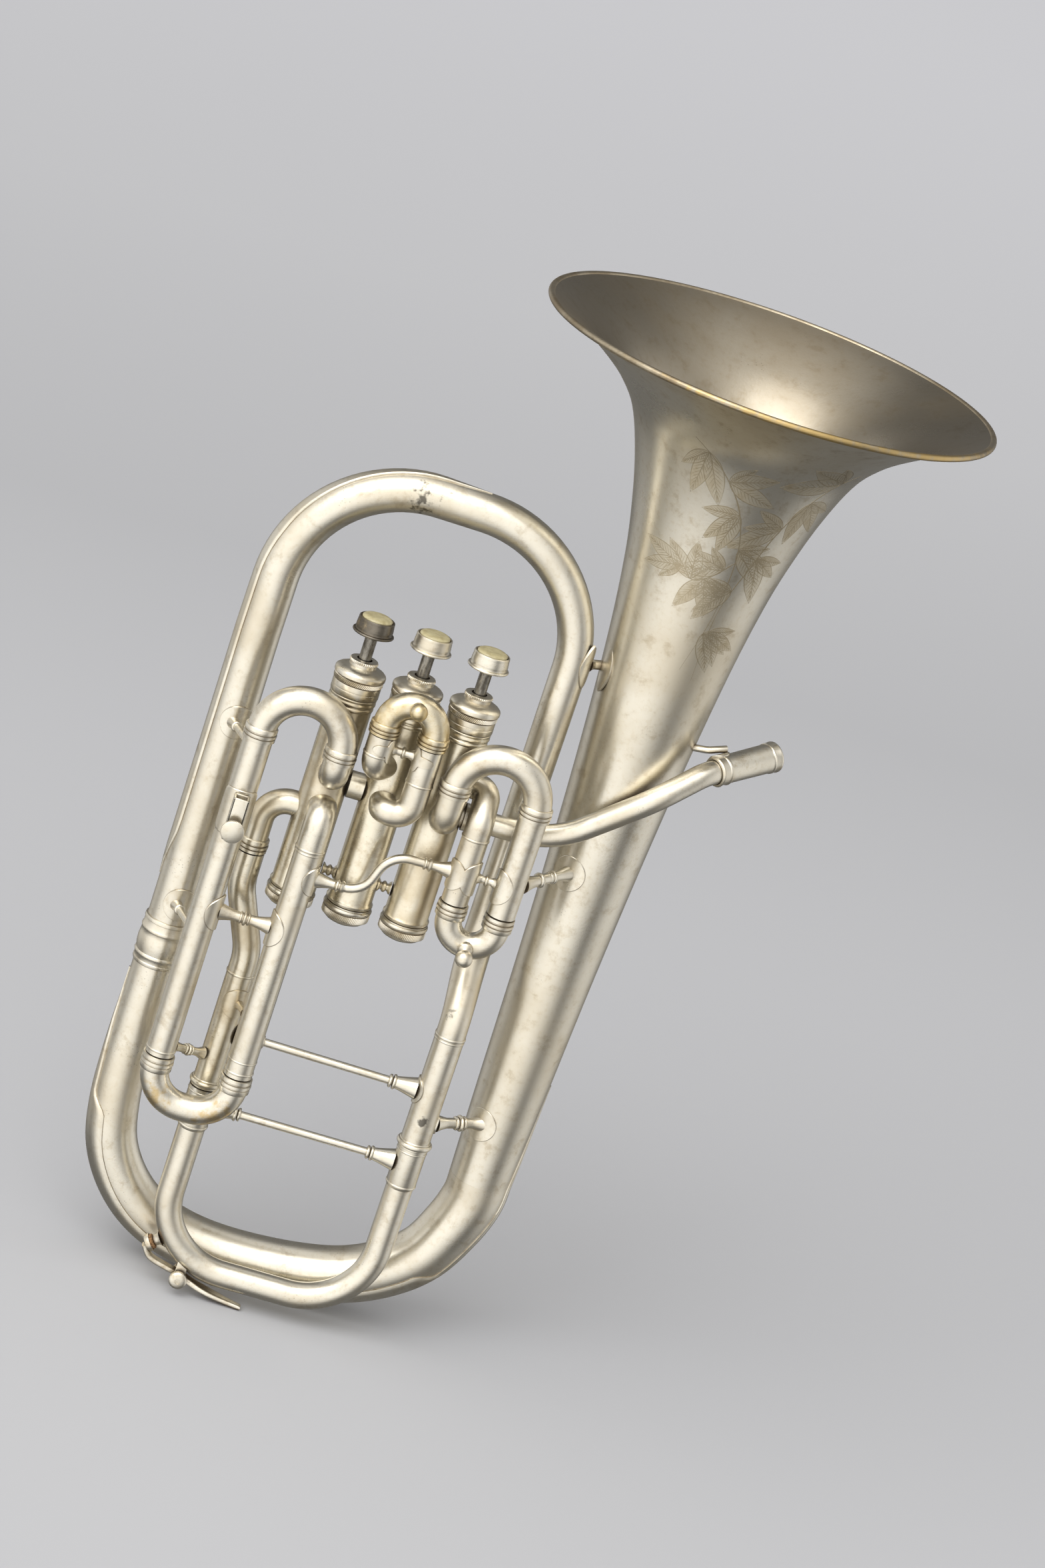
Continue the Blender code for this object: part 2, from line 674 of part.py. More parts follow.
def make_exit_branch():
    path = rounded_path([(VALVE_X[0] - 5, VALVE_Y, EXIT_PORT_Z), (-115.6, VALVE_Y + 1, EXIT_PORT_Z),
                         (-115.4, TUNING_Y - 0.5, 238.4)], [12.0])
    end = path[-1]
    ferrule = [end, end - Vector((0, 0, 0.9)), end - Vector((0, 0, 7.8))]
    radii = [6.0] * len(path) + [7.3, 7.3]
    saddled(tube_mesh("exit_crook", path + ferrule[1:], radii), 0)
    path = rounded_path([(-115.4, TUNING_Y - 0.5, 230.2), (-115.3, TUNING_Y - 0.5, 213.0),
                         (TUNING_X[0], TUNING_Y, 181.0), (TUNING_X[0], TUNING_Y, TUNING_MOUTH_Z)],
                        [34.0, 34.0], 10.0)
    tube("exit_branch", path, TUNING_R)


def make_leadpipe():
    start = Vector((79.0, -18.6, 329.6))
    end = Vector((109.0, 6.2, 338.6))
    ahead = (end - start).normalized()
    corners = [(VALVE_X[2] + 5, VALVE_Y, LEADPIPE_PORT_Z), (16.0, VALVE_Y - 0.5, 277.5),
               (55.0, VALVE_Y - 4.5, 312.5), start - ahead * 6, start + ahead * 5]
    path = rounded_path(corners, [45.0, 40.0, 20.0], 16.0)
    saddled(tube_mesh("leadpipe", path, tapered(path, ((0, 5.3), (1, 5.7)))), 2)
    profile = [(6.6, 37.5), (7.5, 36.3), (7.5, 32.5), (6.9, 31.5), (6.7, 0), (6.0, 0), (5.3, 37.5)]
    turned("mouthpiece_receiver", profile, start, ahead)


# ---- Braces ------------------------------------------------------------------------------


def post(name, start, end, radius, foot_r, foot=4.0, collar=None):
    """A straight brace with a cone at each end, and an optional ring in the middle."""
    start, end = Vector(start), Vector(end)
    length = (end - start).length
    profile = [(0, length), (foot_r, length), (radius, length - foot)]
    if collar:
        middle = length / 2
        profile += [(radius, middle + 1.6), (collar, middle + 0.8), (collar, middle - 0.8),
                    (radius, middle - 1.6)]
    profile += [(radius, foot), (foot_r, 0), (0, 0)]
    return turned(name, profile, start, end - start, 8)


def bell_cutter():
    """The bell's outer shape with a small gap added, which fits a foot to it."""
    profile = [(0, 422)] + [(r + GAP, h) for h, r in BELL_PROFILE[::-1]] + [(0, 0)]
    return as_helper(turned("bell_cutter", profile, BELL_BASE, BELL_RIM - BELL_BASE, 28))


def make_braces():
    half = TUBE_R + GAP
    bell = bell_cutter()
    post("first_slide_brace", (FIRST_X[0] + half, SLIDE_Y, 205.0),
         (FIRST_X[1] - half, SLIDE_Y, 205.0), 1.9, 2.9, 7.0, 2.9)
    post("branch_brace_upper", (-140.4, -11.6, 282.9), (-132.4, -39.9, 286.4), 1.7, 2.7, 5.0, 2.6)
    post("branch_brace_lower", (-140.4, -11.8, 187.5), (-132.4, -39.9, 191.0), 1.7, 2.7, 5.0, 2.6)
    post("exit_brace", (-123.3, -41.0, 131.0), (-108.8, -30.0, 126.6), 2.2, 3.4, 3.0, 3.0)
    post("sleeve_rod", (TUNING_X[0] + TUNING_R + GAP + 0.2, TUNING_Y, 138.9),
         (TUNING_X[1] - TUNING_RIGHT_R - GAP - 0.2, TUNING_Y, 137.7), 2.1, 3.9, 9.0)
    post("tuning_slide_rod", (TUNING_X[0] + TUNING_R + GAP, TUNING_Y, 99.2),
         (TUNING_X[1] - TUNING_R - GAP, TUNING_Y, 99.0), 2.1, 3.9, 9.0)
    short = post("bow_bell_brace", (9.6, -7.4, 359.0), (17.5, -3.0, 359.4), 2.4, 3.0, 1.2)
    slide = post("bell_slide_brace", (30.6, -16.8, 261.0), (8.2, -41.2, 257.8), 2.4, 4.2, 11.0, 3.6)
    leg = post("bell_leg_brace", (29.6, -11.6, 123.6), (9.1, -20.6, 121.6), 2.2, 3.4, 6.0, 3.2)
    for brace in (short, slide, leg):
        combine(brace, bell, "DIFFERENCE")
    post("third_slide_brace", (THIRD_X[1] + SECOND_R + GAP, SLIDE_Y, 256.7),
         (THIRD_X[2] - half, SLIDE_Y, 256.7), 2.3, 2.9, 1.5)
    post("second_slide_brace", (SECOND_X[0] + SECOND_R + GAP, SLIDE_Y, 304.9),
         (SECOND_X[1] - SECOND_R - GAP, SLIDE_Y, 304.9), 2.3, 3.0, 2.5)
    path = rounded_path([(-83.4, -46.0, 233.4), (-62.0, -49.0, 234.4), (-54.6, -49.4, 256.6),
                         (-26.8, -46.0, 256.4)], [13.0, 13.0], 15.0)
    radii = [3.5, *([2.1] * (len(path) - 2)), 3.5]
    rod("s_brace", path, radii)
    hook = rounded_path([(65.5, -8.0, 335.2), (75.0, -11.0, 337.0), (82.3, -8.6, 339.4)], [4.0], 30.0)
    combine(rod("leadpipe_brace", hook, 1.8), bell, "DIFFERENCE")


def make_lyre_holder():
    """A square socket on the first slide's left sleeve, with a thumbscrew from the front."""
    x, y = FIRST_X[0] + 0.6, SLIDE_Y - TUBE_R - GAP
    outer, inner, low, high = 7.4, 5.2, 245.0, 266.0
    front, screw_z = y - outer, 251.4
    socket = box_cutter("lyre_holder", (x - outer / 2, front, low), (x + outer / 2, y, high))
    CUTTERS.objects.unlink(socket)
    HORN.objects.link(socket)
    socket.hide_render = False
    socket.display_type = "TEXTURED"
    socket.data.materials.append(new_material("lyre_holder", *SATIN_PLATE))
    edge = (outer - inner) / 2
    slot = box_cutter("lyre_slot", (x - inner / 2, front + edge, low - 9),
                      (x + inner / 2, y - edge, high + 9))
    combine(socket, slot, "DIFFERENCE")
    hole = cylinder_cutter("lyre_screw_hole", (x, front - 3, screw_z), (x, front + 3, screw_z),
                           1.9, 12)
    combine(socket, hole, "DIFFERENCE")
    profile = [(0, 5.4), (5.6, 5.4), (5.6, 3.6), (1.5, 3.0), (1.5, -1.6), (0, -1.6)]
    turned("lyre_screw", profile, (x, front, screw_z), (0, -1, 0))


# ---- Water key ---------------------------------------------------------------------------

KEY_X, KEY_Y, KEY_Z = -87.0, TUNING_Y, 9.9
KEY_BEND_DEG = 38.0


def bend_point(reach):
    """A point out from the tuning slide's lower left bend, in line with the water key's nipple."""
    turn = math.radians(KEY_BEND_DEG)
    centre = Vector((TUNING_X[0] + TUNING_BEND_R, TUNING_Y, TUNING_BOTTOM_Z + TUNING_BEND_R))
    outward = Vector((-math.cos(turn), 0, -math.sin(turn)))
    return centre + outward * (TUNING_BEND_R + reach), outward


def add_key_ears(slide, pivot):
    """The two ears under the tuning slide that carry the water key's screw."""
    for side in (-1, 1):
        inner, outer = sorted((side * 3.5, side * 4.9))
        ear = box_cutter(f"key_ear_{side}", pivot + Vector((-2.4, inner, -2.3)),
                         pivot + Vector((2.8, outer, 9.0)))
        combine(slide, ear, "UNION")
    reach = Vector((0, 9, 0))
    hole = cylinder_cutter("key_ear_hole", pivot - reach, pivot + reach, 1.4, 12)
    combine(slide, hole, "DIFFERENCE")


def make_water_key():
    nipple, outward = bend_point(TUNING_R + GAP)
    turned("water_key_nipple", [(2.6, 3.2), (3.6, 0), (1.6, 0), (1.6, 3.2)], nipple, outward, 12)
    cork = nipple + outward * (3.2 + GAP)
    turned("water_key_cork", [(0, 2.2), (3.7, 2.2), (3.7, 0), (0, 0)], cork, outward, 12, CORK)
    cup = cork + outward * (2.2 + GAP)
    pivot = Vector((KEY_X, KEY_Y, KEY_Z))
    tip = Vector((-53.0, KEY_Y - 1.0, 2.5))
    path = [cup + outward * 3.0, pivot + Vector((-16.0, 0, 5.3)), pivot + Vector((-8.0, 0, 1.9)),
            pivot, pivot + Vector((10.0, 0, -3.4)), pivot + Vector((22.0, 0, -6.0)), tip]
    lever = rod("water_key_lever", path, [1.7, 1.8, 1.8, 2.6, 1.9, 1.6, 1.2])
    rebase(lever, pivot)
    disc = turned("key_cup", [(0, 1.6), (3.4, 1.6), (4.3, 0), (0, 0)], cup, outward, 12)
    combine(lever, as_helper(disc), "UNION")
    reach = Vector((0, 9, 0))
    hole = cylinder_cutter("key_hole", pivot - reach, pivot + reach, 1.4, 12)
    combine(lever, hole, "DIFFERENCE")
    profile = [(0, 9.4), (4.4, 9.4), (4.4, 7.6), (1.15, 7.4), (1.15, -6.6), (0, -6.6)]
    turned("water_key_screw", profile, pivot, (0, -1, 0), 12, STEEL)
    add_key_ears(bpy.data.objects["tuning_slide"], pivot)


def main():
    make_bell()
    make_bottom_bow()
    make_bow_guard()
    make_bow_ferrule()
    make_top_bow()
    make_top_bow_guard()
    for index in range(3):
        make_casing(index)
        make_top_cap(index)
        make_bottom_cap(index)
        make_piston(index)
        make_button(index)
        make_pearl(index)
        make_spring(index)
    joined_neighbours()
    make_first_sleeves()
    make_second_sleeves()
    make_third_sleeves()
    make_slides()
    make_exit_branch()
    make_leadpipe()
    make_braces()
    make_lyre_holder()
    make_water_key()
    for mesh in bpy.data.meshes:
        mesh.shade_smooth()
    for obj in bpy.data.objects:
        obj.location += mm(*SETTLE)


main()
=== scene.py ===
"""The looks of a small upright brass horn with three valves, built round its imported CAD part.

Sizes are in millimetres in the part's own drawing frame, and place() turns them into metres in
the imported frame. Each piece stands for one CAD node, with finer bends, rings and edges.
"""

import json
import math
import random

import bmesh
import bpy
from mathutils import Matrix, Vector

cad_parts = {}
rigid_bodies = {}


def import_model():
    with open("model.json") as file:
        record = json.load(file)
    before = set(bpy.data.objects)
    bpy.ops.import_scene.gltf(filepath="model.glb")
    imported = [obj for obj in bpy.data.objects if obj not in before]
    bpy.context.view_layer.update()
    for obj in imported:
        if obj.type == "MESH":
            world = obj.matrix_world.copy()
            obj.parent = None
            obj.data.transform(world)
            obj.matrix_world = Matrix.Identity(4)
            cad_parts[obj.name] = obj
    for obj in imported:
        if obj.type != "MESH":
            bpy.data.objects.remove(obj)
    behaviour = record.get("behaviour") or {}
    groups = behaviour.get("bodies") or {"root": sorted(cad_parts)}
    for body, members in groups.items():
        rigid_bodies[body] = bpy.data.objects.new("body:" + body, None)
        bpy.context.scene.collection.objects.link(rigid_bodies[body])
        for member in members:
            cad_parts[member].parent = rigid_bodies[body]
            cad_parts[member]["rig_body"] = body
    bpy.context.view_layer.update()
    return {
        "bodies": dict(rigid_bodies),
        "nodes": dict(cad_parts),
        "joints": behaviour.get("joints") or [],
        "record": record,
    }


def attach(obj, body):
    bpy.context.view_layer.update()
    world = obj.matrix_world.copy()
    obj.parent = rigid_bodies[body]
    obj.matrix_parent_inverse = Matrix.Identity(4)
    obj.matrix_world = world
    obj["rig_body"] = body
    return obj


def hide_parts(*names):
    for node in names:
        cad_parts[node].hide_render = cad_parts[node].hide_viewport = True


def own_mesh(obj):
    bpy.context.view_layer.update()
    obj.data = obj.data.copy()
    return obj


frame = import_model()

MM = 0.001
SETTLE = Vector((0.842, 0.0, -1.101))
BODY_OF = {node: obj["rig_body"] for node, obj in frame["nodes"].items()}
UP = Vector((0, 0, 1))

# Valves
VALVE_X = (-92.3, -64.8, -37.3)
VALVE_Y = -28.0
CASING_R = 10.45
KNUCKLE_Z = (276.5, 277.5)
SPACER_Z = 232.6
EXIT_PORT_Z = 259.5
LEADPIPE_PORT_Z = 277.0
BOTTOM_CAP_Z = 220.2
TOP_CAP_Z = 319.6
BUTTON_Z = 349.0
SPRING_Z = (215.3, 237.0)

# Valve slides
SLIDE_Y = -46.8
WALL = 0.6
TUBE_R = 6.85
SECOND_R = 6.35
ELBOW_R = 8.0
FIRST_X = (-128.7, -90.8)
FIRST_CROWN_Z = 315.7
FIRST_MOUTH_Z = 128.6
FIRST_BOTTOM_Z = 104.6
FIRST_PORT_Z = (282.4, 264.7)
SECOND_X = (-75.0, -52.3)
SECOND_MOUTH_Z = 310.4
SECOND_TOP_Z = 328.0
SECOND_PORT_Z = (293.0, 275.3)
THIRD_X = (-36.0, -19.8, 2.7)
THIRD_CROWN_Z = 315.3
THIRD_MOUTH_Z = 242.5
THIRD_BOTTOM_Z = 223.3
THIRD_PORT_Z = (277.0, 294.5)

# Tuning slide, large branches and bell
TUNING_X = (-102.7, 1.0)
TUNING_Y = -25.0
TUNING_MOUTH_Z = 109.6
TUNING_BOTTOM_Z = 15.75
TUNING_BEND_R = 36.0
TUNING_R = 6.6
TUNING_RIGHT_R = 7.2
KEY_PIVOT = Vector((-87.0, TUNING_Y, 9.9))
BRANCH_X = -141.3
BRANCH_R = 10.7
FERRULE_Z = (152.4, 176.7)
LOOP_TOP_Z = 413.3
BELL_WALL = 0.7
BELL_RIM_R = 107.5
RIM_BEAD_R = 1.55
BELL_BASE = Vector((39.4, 0.0, 92.0))
BELL_RIM = Vector((45.1, 0.0, 520.0))
BELL_AXIS = (BELL_RIM - BELL_BASE).normalized()
BELL_LENGTH = (BELL_RIM - BELL_BASE).length


def place(point):
    return (Vector(point) + SETTLE) * MM


# ---- Materials ---------------------------------------------------------------------------


class Look:
    """A procedural material's node tree, with short calls for the nodes it uses."""

    def __init__(self, name):
        self.material = bpy.data.materials.new(name)
        self.material.use_nodes = True
        self.tree = self.material.node_tree
        self.shader = self.tree.nodes["Principled BSDF"]
        self.coords = self.tree.nodes.new("ShaderNodeTexCoord").outputs["Object"]

    def plug(self, value, socket):
        """Links another node's output to a socket, or sets the socket to a plain value."""
        if hasattr(value, "is_output"):
            self.tree.links.new(value, socket)
        else:
            socket.default_value = value

    def node(self, kind, inputs=(), **settings):
        made = self.tree.nodes.new(kind)
        for key, value in settings.items():
            setattr(made, key, value)
        for key, value in dict(inputs).items():
            self.plug(value, made.inputs[key])
        return made

    def noise(self, scale, detail=4.0, roughness=0.55, coords=None):
        inputs = {"Vector": coords or self.coords, "Scale": scale, "Detail": detail,
                  "Roughness": roughness}
        return self.node("ShaderNodeTexNoise", inputs).outputs["Fac"]

    def span(self, value, low, high, out_low=0.0, out_high=1.0):
        inputs = {"Value": value, "From Min": low, "From Max": high, "To Min": out_low,
                  "To Max": out_high}
        made = self.node("ShaderNodeMapRange", inputs, interpolation_type="SMOOTHSTEP")
        return made.outputs["Result"]

    def math(self, operation, a, b=0.0):
        return self.node("ShaderNodeMath", {0: a, 1: b}, operation=operation).outputs[0]

    def mix(self, factor, a, b):
        made = self.node("ShaderNodeMix", data_type="RGBA")
        for key, kind, value in (("Factor", "VALUE", factor), ("A", "RGBA", a), ("B", "RGBA", b)):
            self.plug(value, next(s for s in made.inputs if s.name == key and s.type == kind))
        return next(s for s in made.outputs if s.type == "RGBA")

    def near(self, spot, radius, ragged, soft):
        """1 inside a ragged blob round a spot, given in the drawing frame."""
        warp = self.noise(260.0, 3.0)
        apart = self.node("ShaderNodeVectorMath", {0: self.coords, 1: place(spot)},
                          operation="DISTANCE").outputs["Value"]
        size = radius * MM
        rough = self.math("MULTIPLY", self.math("SUBTRACT", warp, 0.5), size * ragged * 4)
        return self.span(self.math("ADD", apart, rough), size * (1 + soft), size * (1 - soft))

    def any_of(self, masks):
        total = masks[0]
        for mask in masks[1:]:
            total = self.math("MAXIMUM", total, mask)
        return total

    def set(self, **values):
        for key, value in values.items():
            self.plug(value, self.shader.inputs[key.replace("_", " ")])


PLATE = (0.76, 0.725, 0.635, 1)
WARM = (0.64, 0.57, 0.44, 1)
BROWN = (0.16, 0.11, 0.06, 1)
BRASS = (0.60, 0.42, 0.15, 1)
BLACK = (0.03, 0.026, 0.022, 1)
BLOTCH = (0.42, 0.34, 0.22, 1)
INSIDE = (0.23, 0.185, 0.125, 1)


def plated(name, base=PLATE, warm=WARM, tarnish=0.5, rough=0.31, brass=(), dark=(), pits=0.3,
           recess=1.0, clouds=26.0, upward=0.0):
    """Satin plating that is brown in the hollows, partly from tarnish and partly as painted shading,
    pitted, and worn to brass at spots.

    upward is how far faces that look up have darkened, which on the bell is its inside."""
    look = Look(name)
    cloud = look.noise(clouds, 5.0, 0.6)
    fine = look.noise(420.0, 4.0, 0.6)
    colour = look.mix(look.span(cloud, 0.42, 0.68, 0.0, tarnish), base, warm)
    colour = look.mix(look.span(fine, 0.50, 0.72, 0.0, 0.45), colour, warm)
    blotch = look.noise(120.0, 6.0, 0.7)
    colour = look.mix(look.span(blotch, 0.52, 0.72, 0.0, 0.75 * tarnish), colour, BLOTCH)
    if upward:
        normal = look.node("ShaderNodeNewGeometry").outputs["Normal"]
        height = look.node("ShaderNodeSeparateXYZ", {"Vector": normal}).outputs["Z"]
        inside = look.math("MULTIPLY", look.span(height, 0.01, 0.10), upward)
        uneven = look.math("ADD", look.math("MULTIPLY", cloud, 0.5), 0.75)
        colour = look.mix(look.math("MULTIPLY", inside, uneven), colour, INSIDE)
    # Brown in the hollows from ambient occlusion and blotch noise: partly tarnish, partly painted
    # shade.
    hollow = look.node("ShaderNodeAmbientOcclusion", {"Distance": 0.005}, samples=8).outputs["AO"]
    hollow = look.math("ADD", hollow, look.math("MULTIPLY", look.math("SUBTRACT", blotch, 0.5), 0.5))
    tarnish_and_shade = look.math("MULTIPLY", look.span(hollow, 0.82, 0.28), recess * 0.9)
    colour = look.mix(tarnish_and_shade, colour, BROWN)
    specks = look.node("ShaderNodeTexVoronoi", {"Vector": look.coords, "Scale": 620.0,
                                                "Randomness": 1.0}).outputs["Distance"]
    where = look.span(look.noise(48.0, 3.0), 0.56, 0.70)
    speck = look.math("MULTIPLY", look.span(specks, 0.20, 0.12), where)
    speck = look.math("MULTIPLY", speck, pits)
    stain = look.any_of([speck] + [look.near(spot, radius, 1.3, 0.5) for spot, radius in dark])
    colour = look.mix(look.math("MULTIPLY", stain, 0.8), colour, BLACK)
    if brass:
        worn = look.any_of([look.near(spot, radius, 1.3, 0.9) for spot, radius in brass])
        colour = look.mix(look.math("MULTIPLY", worn, 0.68), colour, BRASS)
    roughness = look.span(cloud, 0.3, 0.75, rough - 0.05, rough + 0.09)
    roughness = look.math("ADD", roughness, look.math("MULTIPLY", tarnish_and_shade, 0.25))
    height = look.math("ADD", look.math("MULTIPLY", look.noise(900.0, 2.0), 0.6),
                       look.math("MULTIPLY", cloud, 0.8))
    height = look.math("SUBTRACT", height, look.math("MULTIPLY", stain, 1.5))
    bump = look.node("ShaderNodeBump", {"Strength": 0.12, "Distance": 0.0004, "Height": height})
    look.set(Base_Color=colour, Metallic=1.0, Roughness=roughness, Normal=bump.outputs["Normal"])
    return look.material


def pearl_look():
    look = Look("pearl")
    cloud = look.noise(300.0, 4.0, 0.6)
    colour = look.mix(look.span(cloud, 0.35, 0.7), (0.49, 0.44, 0.26, 1), (0.35, 0.30, 0.16, 1))
    # Painted shade: ambient occlusion darkens and browns the pearl where the cup's rim closes round
    # it.
    rim_occlusion_shade = look.node("ShaderNodeAmbientOcclusion", {"Distance": 0.002}, samples=6).outputs["AO"]
    colour = look.mix(look.span(rim_occlusion_shade, 0.75, 0.35, 0.0, 0.75), colour, (0.12, 0.09, 0.04, 1))
    look.set(Base_Color=colour, Roughness=0.32, Coat_Weight=0.25, Coat_Roughness=0.12)
    return look.material


def steel_look(name, colour=(0.30, 0.285, 0.255, 1)):
    look = Look(name)
    streak = look.node("ShaderNodeMapping", {"Vector": look.coords, "Scale": (1, 1, 0.35)})
    blotch = look.noise(500.0, 5.0, 0.7, streak.outputs["Vector"])
    made = look.mix(look.span(blotch, 0.35, 0.68), colour, (0.085, 0.075, 0.06, 1))
    look.set(Base_Color=made, Metallic=1.0, Roughness=look.span(blotch, 0.3, 0.7, 0.30, 0.50))
    return look.material


def cork_look():
    look = Look("cork")
    grain = look.noise(1400.0, 3.0)
    colour = look.mix(look.span(grain, 0.4, 0.62), (0.30, 0.17, 0.075, 1), (0.12, 0.06, 0.025, 1))
    bump = look.node("ShaderNodeBump", {"Strength": 0.5, "Distance": 0.0003, "Height": grain})
    look.set(Base_Color=colour, Roughness=0.9, Normal=bump.outputs["Normal"])
    return look.material


# ---- Paths -------------------------------------------------------------------------------


def bend(before, corner, after, radius, step_deg):
    """Points of the arc that rounds a corner off."""
    back = (before - corner).normalized()
    ahead = (after - corner).normalized()
    turn = math.pi - back.angle(ahead)
    reach = radius * math.tan(turn / 2)
    start = corner + back * reach
    centre = corner + (back + ahead).normalized() * (radius / math.cos(turn / 2))
    axis = ahead.cross(back).normalized()
    steps = max(2, round(math.degrees(turn) / step_deg))
    return [centre + Matrix.Rotation(turn * i / steps, 3, axis) @ (start - centre)
            for i in range(steps + 1)]


def rounded_path(corners, radii, step_deg=4.0):
    corners = [Vector(corner) for corner in corners]
    path = [corners[0]]
    for i, radius in enumerate(radii):
        path += bend(path[-1], corners[i + 1], corners[i + 2], radius, step_deg)
    return path + [corners[-1]]


def smooth_path(points, per_span=6):
    """A Catmull-Rom curve through points, which may hold a radius as a fourth number."""
    ends = [points[0], *points, points[-1]]
    made = []
    for a, b, c, d in zip(ends, ends[1:], ends[2:], ends[3:]):
        for i in range(per_span):
            t = i / per_span
            made.append([0.5 * (2 * q + (r - p) * t + (2 * p - 5 * q + 4 * r - s) * t * t
                                + (3 * q - p - 3 * r + s) * t ** 3)
                         for p, q, r, s in zip(a, b, c, d)])
    return [*made, list(points[-1])]


def lengths_along(path):
    total = [0.0]
    for a, b in zip(path, path[1:]):
        total.append(total[-1] + (b - a).length)
    return total


def evened(path, step):
    """The same path, with points no further apart than about one step."""
    even = []
    for a, b in zip(path, path[1:]):
        count = max(1, int((b - a).length / step))
        even += [a.lerp(b, k / count) for k in range(count)]
    return [*even, path[-1]]


def tapered(path, stations):
    """A radius for each point, from (fraction of the length, radius) stations."""
    along = lengths_along(path)
    radii = []
    for distance in along:
        share = distance / along[-1]
        for (f0, r0), (f1, r1) in zip(stations, stations[1:]):
            if share <= f1 or f1 == stations[-1][0]:
                t = min(1.0, (share - f0) / (f1 - f0))
                radii.append(r0 + (r1 - r0) * t * t * (3 - 2 * t))
                break
    return radii


# ---- Shapes ------------------------------------------------------------------------------


def turn_to(axis):
    return UP.rotation_difference(Vector(axis).normalized()).to_matrix()


class Shape:
    """The mesh of one piece, gathered from closed parts."""

    def __init__(self):
        self.bm = bmesh.new()

    def rings(self, rows, closed, caps):
        """Joins rings of points. A closed one joins its last ring to its first."""
        made = [[self.bm.verts.new(place(p)) for p in row] for row in rows]
        count = len(made[0])
        pairs = list(zip(made, made[1:])) + ([(made[-1], made[0])] if closed else [])
        for low, high in pairs:
            for i in range(count):
                j = (i + 1) % count
                self.bm.faces.new((low[i], low[j], high[j], high[i]))
        if caps:
            self.bm.faces.new(made[0][::-1])
            self.bm.faces.new(made[-1])
        return self

    def sweep(self, path, radii, wall=None, sides=40):
        """A tube with a wall, or a solid rod, along a path."""
        path = [Vector(p) for p in path]
        radii = radii if isinstance(radii, list) else [radii] * len(path)
        heading = (path[1] - path[0]).normalized()
        across = heading.orthogonal().normalized()
        frames = []
        for i, point in enumerate(path):
            ahead = (path[min(i + 1, len(path) - 1)] - path[max(i - 1, 0)]).normalized()
            across = (heading.rotation_difference(ahead) @ across)
            across = (across - ahead * across.dot(ahead)).normalized()
            heading = ahead
            frames.append((point, across, ahead.cross(across)))
        circle = [(math.cos(2 * math.pi * k / sides), math.sin(2 * math.pi * k / sides))
                  for k in range(sides)]

        def ring(frame, radius):
            point, u, v = frame
            return [point + (u * c + v * s) * radius for c, s in circle]

        rows = [ring(f, r) for f, r in zip(frames, radii)]
        if wall:
            rows += [ring(f, r - wall) for f, r in zip(frames[::-1], radii[::-1])]
        return self.rings(rows, bool(wall), not wall)

    def lathe(self, profile, at, axis=UP, steps=56):
        """A turned part. The profile's (radius, height) pairs end on the axis or close a ring."""
        spin = turn_to(axis)
        at = Vector(at)
        solid = profile[0][0] < 1e-6
        inner = profile[1:-1] if solid else profile
        rows = []
        for r, h in inner:
            row = []
            for k in range(steps):
                turn = 2 * math.pi * k / steps
                row.append(at + spin @ Vector((r * math.cos(turn), r * math.sin(turn), h)))
            rows.append(row)
        before = len(self.bm.verts)
        self.rings(rows, not solid, False)
        if solid:
            self.bm.verts.ensure_lookup_table()
            ends = ((profile[0][1], before), (profile[-1][1], before + (len(rows) - 1) * steps))
            for h, first in ends:
                tip = self.bm.verts.new(place(at + spin @ Vector((0, 0, h))))
                self.bm.verts.ensure_lookup_table()
                for k in range(steps):
                    corner = self.bm.verts[first + k], self.bm.verts[first + (k + 1) % steps]
                    self.bm.faces.new((tip, *corner) if first == before else (tip, *corner[::-1]))
        return self

    def band(self, at, axis, radius, outline, depth=0.5, steps=56):
        """A ring on a tube. The outline is (height along the axis, rise above the tube) pairs."""
        profile = [(radius + rise, along) for along, rise in outline]
        profile += [(radius - depth, outline[-1][0]), (radius - depth, outline[0][0])]
        return self.lathe(profile, at, axis, steps)

    def line(self, at, axis, radius, width, rise):
        """A small half-round ring line."""
        half = width / 2
        outline = [(half * math.cos(t), rise * math.sin(t)) for t in
                   [math.pi - math.pi * k / 8 for k in range(9)]]
        return self.band(at, axis, radius, outline)

    def flange(self, at, axis, outward, radius, size, rise=0.8, steps=40, shape=None):
        """A thin plate bent round a tube: at is on the tube's axis, and size its outline's radius.

        shape(turn) stretches the outline, which is otherwise round."""
        along = Vector(axis).normalized()
        outward = Vector(outward)
        outward = (outward - along * outward.dot(along)).normalized()
        side = along.cross(outward)
        at = Vector(at)

        def on(level, reach, turn):
            a, b = reach * math.cos(turn), reach * math.sin(turn)
            angle = max(-1.5, min(1.5, b / radius))
            arm = outward * math.cos(angle) + side * math.sin(angle)
            return at + along * a + arm * (radius + level)

        sunk = -0.4
        levels = [(k / 10, rise) for k in range(1, 10)]
        levels += [(0.97, rise), (1.0, rise * 0.6), (1.0, sunk), (0.66, sunk), (0.33, sunk)]
        rows = []
        for share, level in levels:
            row = []
            for k in range(steps):
                turn = 2 * math.pi * k / steps
                stretch = shape(turn) if shape else 1.0
                row.append(on(level, size * share * stretch, turn))
            rows.append(row)
        before = len(self.bm.verts)
        self.rings(rows, False, False)
        self.bm.verts.ensure_lookup_table()
        for level, first in ((rise, before), (sunk, before + (len(rows) - 1) * steps)):
            tip = self.bm.verts.new(place(on(level, 0, 0)))
            self.bm.verts.ensure_lookup_table()
            for k in range(steps):
                self.bm.faces.new((tip, self.bm.verts[first + k],
                                   self.bm.verts[first + (k + 1) % steps]))
        return self

